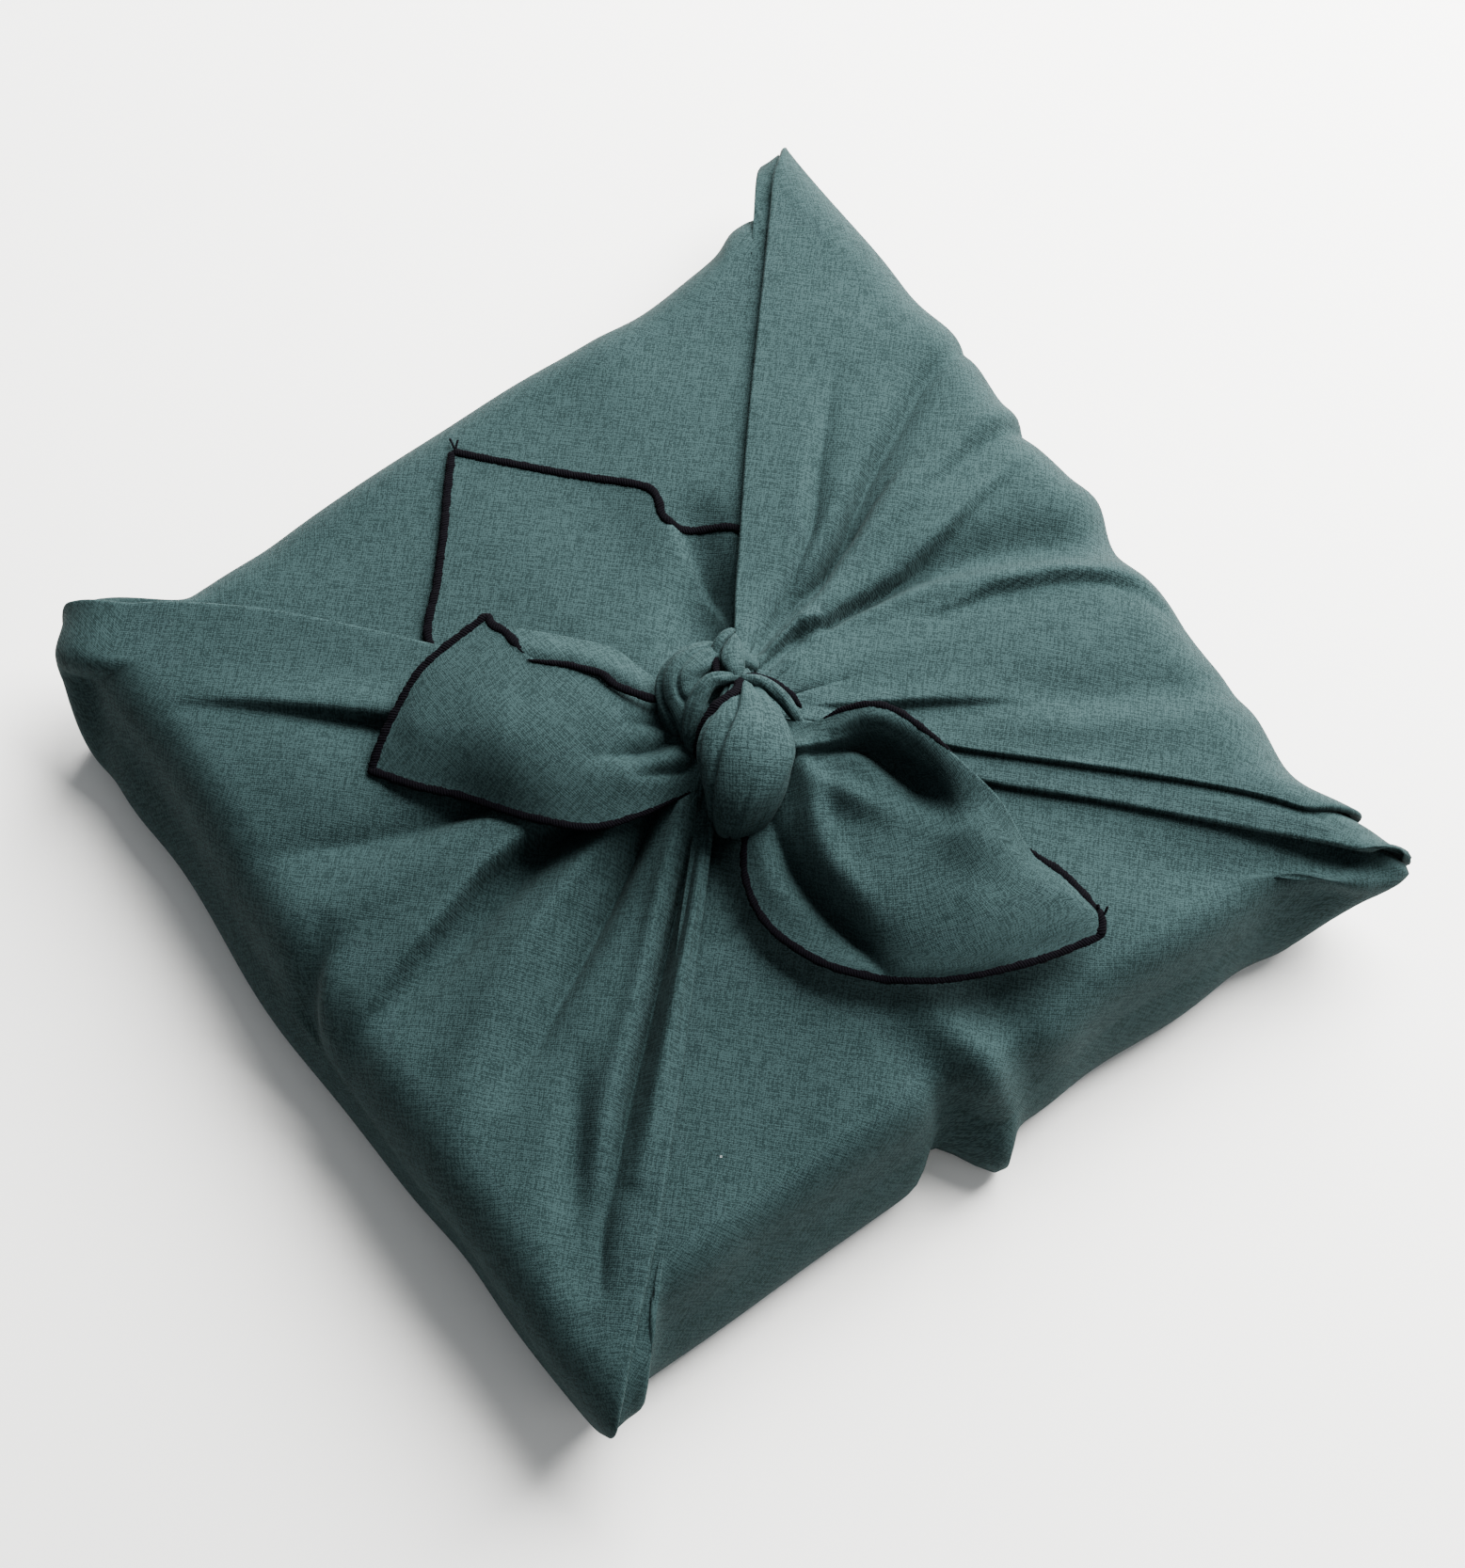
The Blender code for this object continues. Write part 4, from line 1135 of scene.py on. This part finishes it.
class WRAP_OT_fans(bpy.types.Operator):
    """Adds the gathered fans that are drawn to the knot."""
    bl_idname = "wrap.fans"
    bl_label = "Gathered fans"

    def execute(self, context):
        for row in FANS:
            piece = fan_piece(*row)
        return {"FINISHED"}


class WRAP_OT_flap(bpy.types.Operator):
    """Adds the hemmed tip of the upper panel."""
    bl_idname = "wrap.flap"
    bl_label = "Hemmed tip"

    def execute(self, context):
        piece, paths = flap_piece()
        hems = [hem_piece("flap_hem_" + name, path, seed)
                for name, path, seed in zip(("left", "right"), paths, (3, 4))]
        return {"FINISHED"}


# The hems that show on the ends and in the knot, and the tails of thread at the cloth's corners:
# name, share of the hem's width, taper at its start and end, then x, y, z
END_HEMS = (
    ("left_back_hem", 1, (26, 4), ((-37.4, 47.8, 68.6), (-28.4, 38.8, 69.4), (-22, 29.7, 70.6),
     (-21, 23.6, 71), (-18.3, 18.3, 72), (-15.5, 14, 72), (-12, 11, 70))),
    ("knot_front_hem", 1.1, (4, 8), ((11, 2, 77), (6, -3, 81), (2, -4, 82.5), (-3, -4, 83),
     (-8, -6, 82), (-12, -8, 79), (-15, -11, 75), (-15, -14, 68))),
    ("knot_far_hem", 1.1, (3, 6), ((10.6, 0.5, 78), (13.8, -2.3, 77.5), (16.4, -5, 76.5),
     (18.4, -9, 75.5), (19.8, -12.6, 74), (20.2, -16.6, 72))),
    ("knot_lobe_hem", 0.9, (4, 3), ((8.2, 11, 77), (6, 8.1, 78.5), (3.8, 5, 80))),
    ("knot_under_hem", 0.9, (6, 6), ((-20, -31, 60), (-14, -35, 59), (-6, -37, 59), (4, -36, 60))),
    ("tail_left", 0.55, (0, 2), ((-93, 52, 54), (-95, 51.5, 53.5), (-97, 52, 53), (-98, 54, 52.5))),
    ("tail_flap", 0.28, (0, 0), ((-9, 131.5, 46.8), (-8.4, 134, 47), (-7.8, 136.6, 46.4))),
    ("tail_flap_side", 0.28, (0, 0), ((-9, 131.5, 46.8), (-7.2, 133.2, 47.2), (-6, 134.2, 47.2))),
    ("tail_right", 0.3, (0, 0), ((54, -122, 60), (56.5, -121.5, 61), (58.5, -120.4, 62))),
    ("tail_right_side", 0.3, (0, 0), ((54.5, -121, 60), (55.6, -119.6, 61), (56.6, -118, 61.6))),
)


class WRAP_OT_ends(bpy.types.Operator):
    """Adds the two free ends of the knot."""
    bl_idname = "wrap.ends"
    bl_label = "Free ends"

    def execute(self, context):
        left, left_grid = end_piece("left_end", LEFT_END, LEFT_COUNTS)
        back, _ = end_piece("left_end_back", LEFT_BACK, BACK_COUNTS)
        right, grid = end_piece("right_end", RIGHT_END, RIGHT_COUNTS)
        # Each hem runs from where it comes out of the knot, past the tip, and back up the other
        # border as far as it shows.
        left_border = np.concatenate(
            [left_grid[6:, -1], left_grid[-1, -2::-1], left_grid[66:-1, 0][::-1]])
        right_border = np.concatenate([grid[8:, 0], grid[-1, ::-1], grid[112:-1, -1][::-1]])
        hems = [hem_piece("left_end_hem", left_border, 5, 1.1, (45, 5)),
                hem_piece("right_end_hem", right_border, 7, 1.0, (6, 14)),
                hem_piece("right_end_top_hem", grid[24:80, -1], 8, 0.95, (12, 20)),
                hem_piece("right_end_side_hem", grid[112:-1, -1], 6, 1.3, (14, 4))]
        for number, (name, share, taper, path) in enumerate(END_HEMS):
            hem_piece(name, path, 9 + number, share, taper)
        return {"FINISHED"}


class WRAP_OT_knot(bpy.types.Operator):
    """Adds the bands of the square knot."""
    bl_idname = "wrap.knot"
    bl_label = "Square knot"

    def execute(self, context):
        for name, rows in BANDS.items():
            piece = band_piece(name, rows)
        return {"FINISHED"}


class WRAP_OT_stage(bpy.types.Operator):
    """Adds the floor, the light and the camera."""
    bl_idname = "wrap.stage"
    bl_label = "Floor, light and camera"

    def execute(self, context):
        floor_piece(context.scene.wrap_colours)
        add_camera()
        add_light("window", (1.01, 0.32, 0.8), 1.3, 190, (1.0, 0.99, 0.975))
        add_light("room", (0.5, -1.7, 0.7), 1.4, 8, (1.0, 0.98, 0.96))
        world = bpy.data.worlds.new("studio")
        world.use_nodes = True
        world.node_tree.nodes["Background"].inputs["Color"].default_value = (0.92, 0.96, 1.0, 1)
        world.node_tree.nodes["Background"].inputs["Strength"].default_value = 0.3
        context.scene.world = world
        return {"FINISHED"}


class WRAP_PT_panel(bpy.types.Panel):
    """Lists the settings and the pieces."""
    bl_label = "Furoshiki wrap"
    bl_idname = "WRAP_PT_panel"
    bl_space_type = "VIEW_3D"
    bl_region_type = "UI"
    bl_category = "Wrap"

    def draw(self, context):
        for group in (context.scene.wrap_colours, context.scene.wrap_sizes):
            for prop in group.bl_rna.properties:
                if prop.identifier not in ("rna_type", "name"):
                    self.layout.prop(group, prop.identifier)
        for operator in OPERATORS:
            self.layout.operator(operator.bl_idname)


OPERATORS = (WRAP_OT_body, WRAP_OT_fans, WRAP_OT_flap, WRAP_OT_knot, WRAP_OT_ends, WRAP_OT_stage)
CLASSES = (WrapColours, WrapSizes) + OPERATORS + (WRAP_PT_panel,)


def register():
    for one in CLASSES:
        bpy.utils.register_class(one)
    bpy.types.Scene.wrap_colours = bpy.props.PointerProperty(type=WrapColours)
    bpy.types.Scene.wrap_sizes = bpy.props.PointerProperty(type=WrapSizes)


def unregister():
    del bpy.types.Scene.wrap_colours
    del bpy.types.Scene.wrap_sizes
    for one in reversed(CLASSES):
        bpy.utils.unregister_class(one)


def main():
    """Registers the classes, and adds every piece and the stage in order."""
    register()
    bpy.ops.wrap.body()
    bpy.ops.wrap.fans()
    bpy.ops.wrap.flap()
    bpy.ops.wrap.knot()
    bpy.ops.wrap.ends()
    bpy.ops.wrap.stage()


if __name__ == "__main__":
    main()
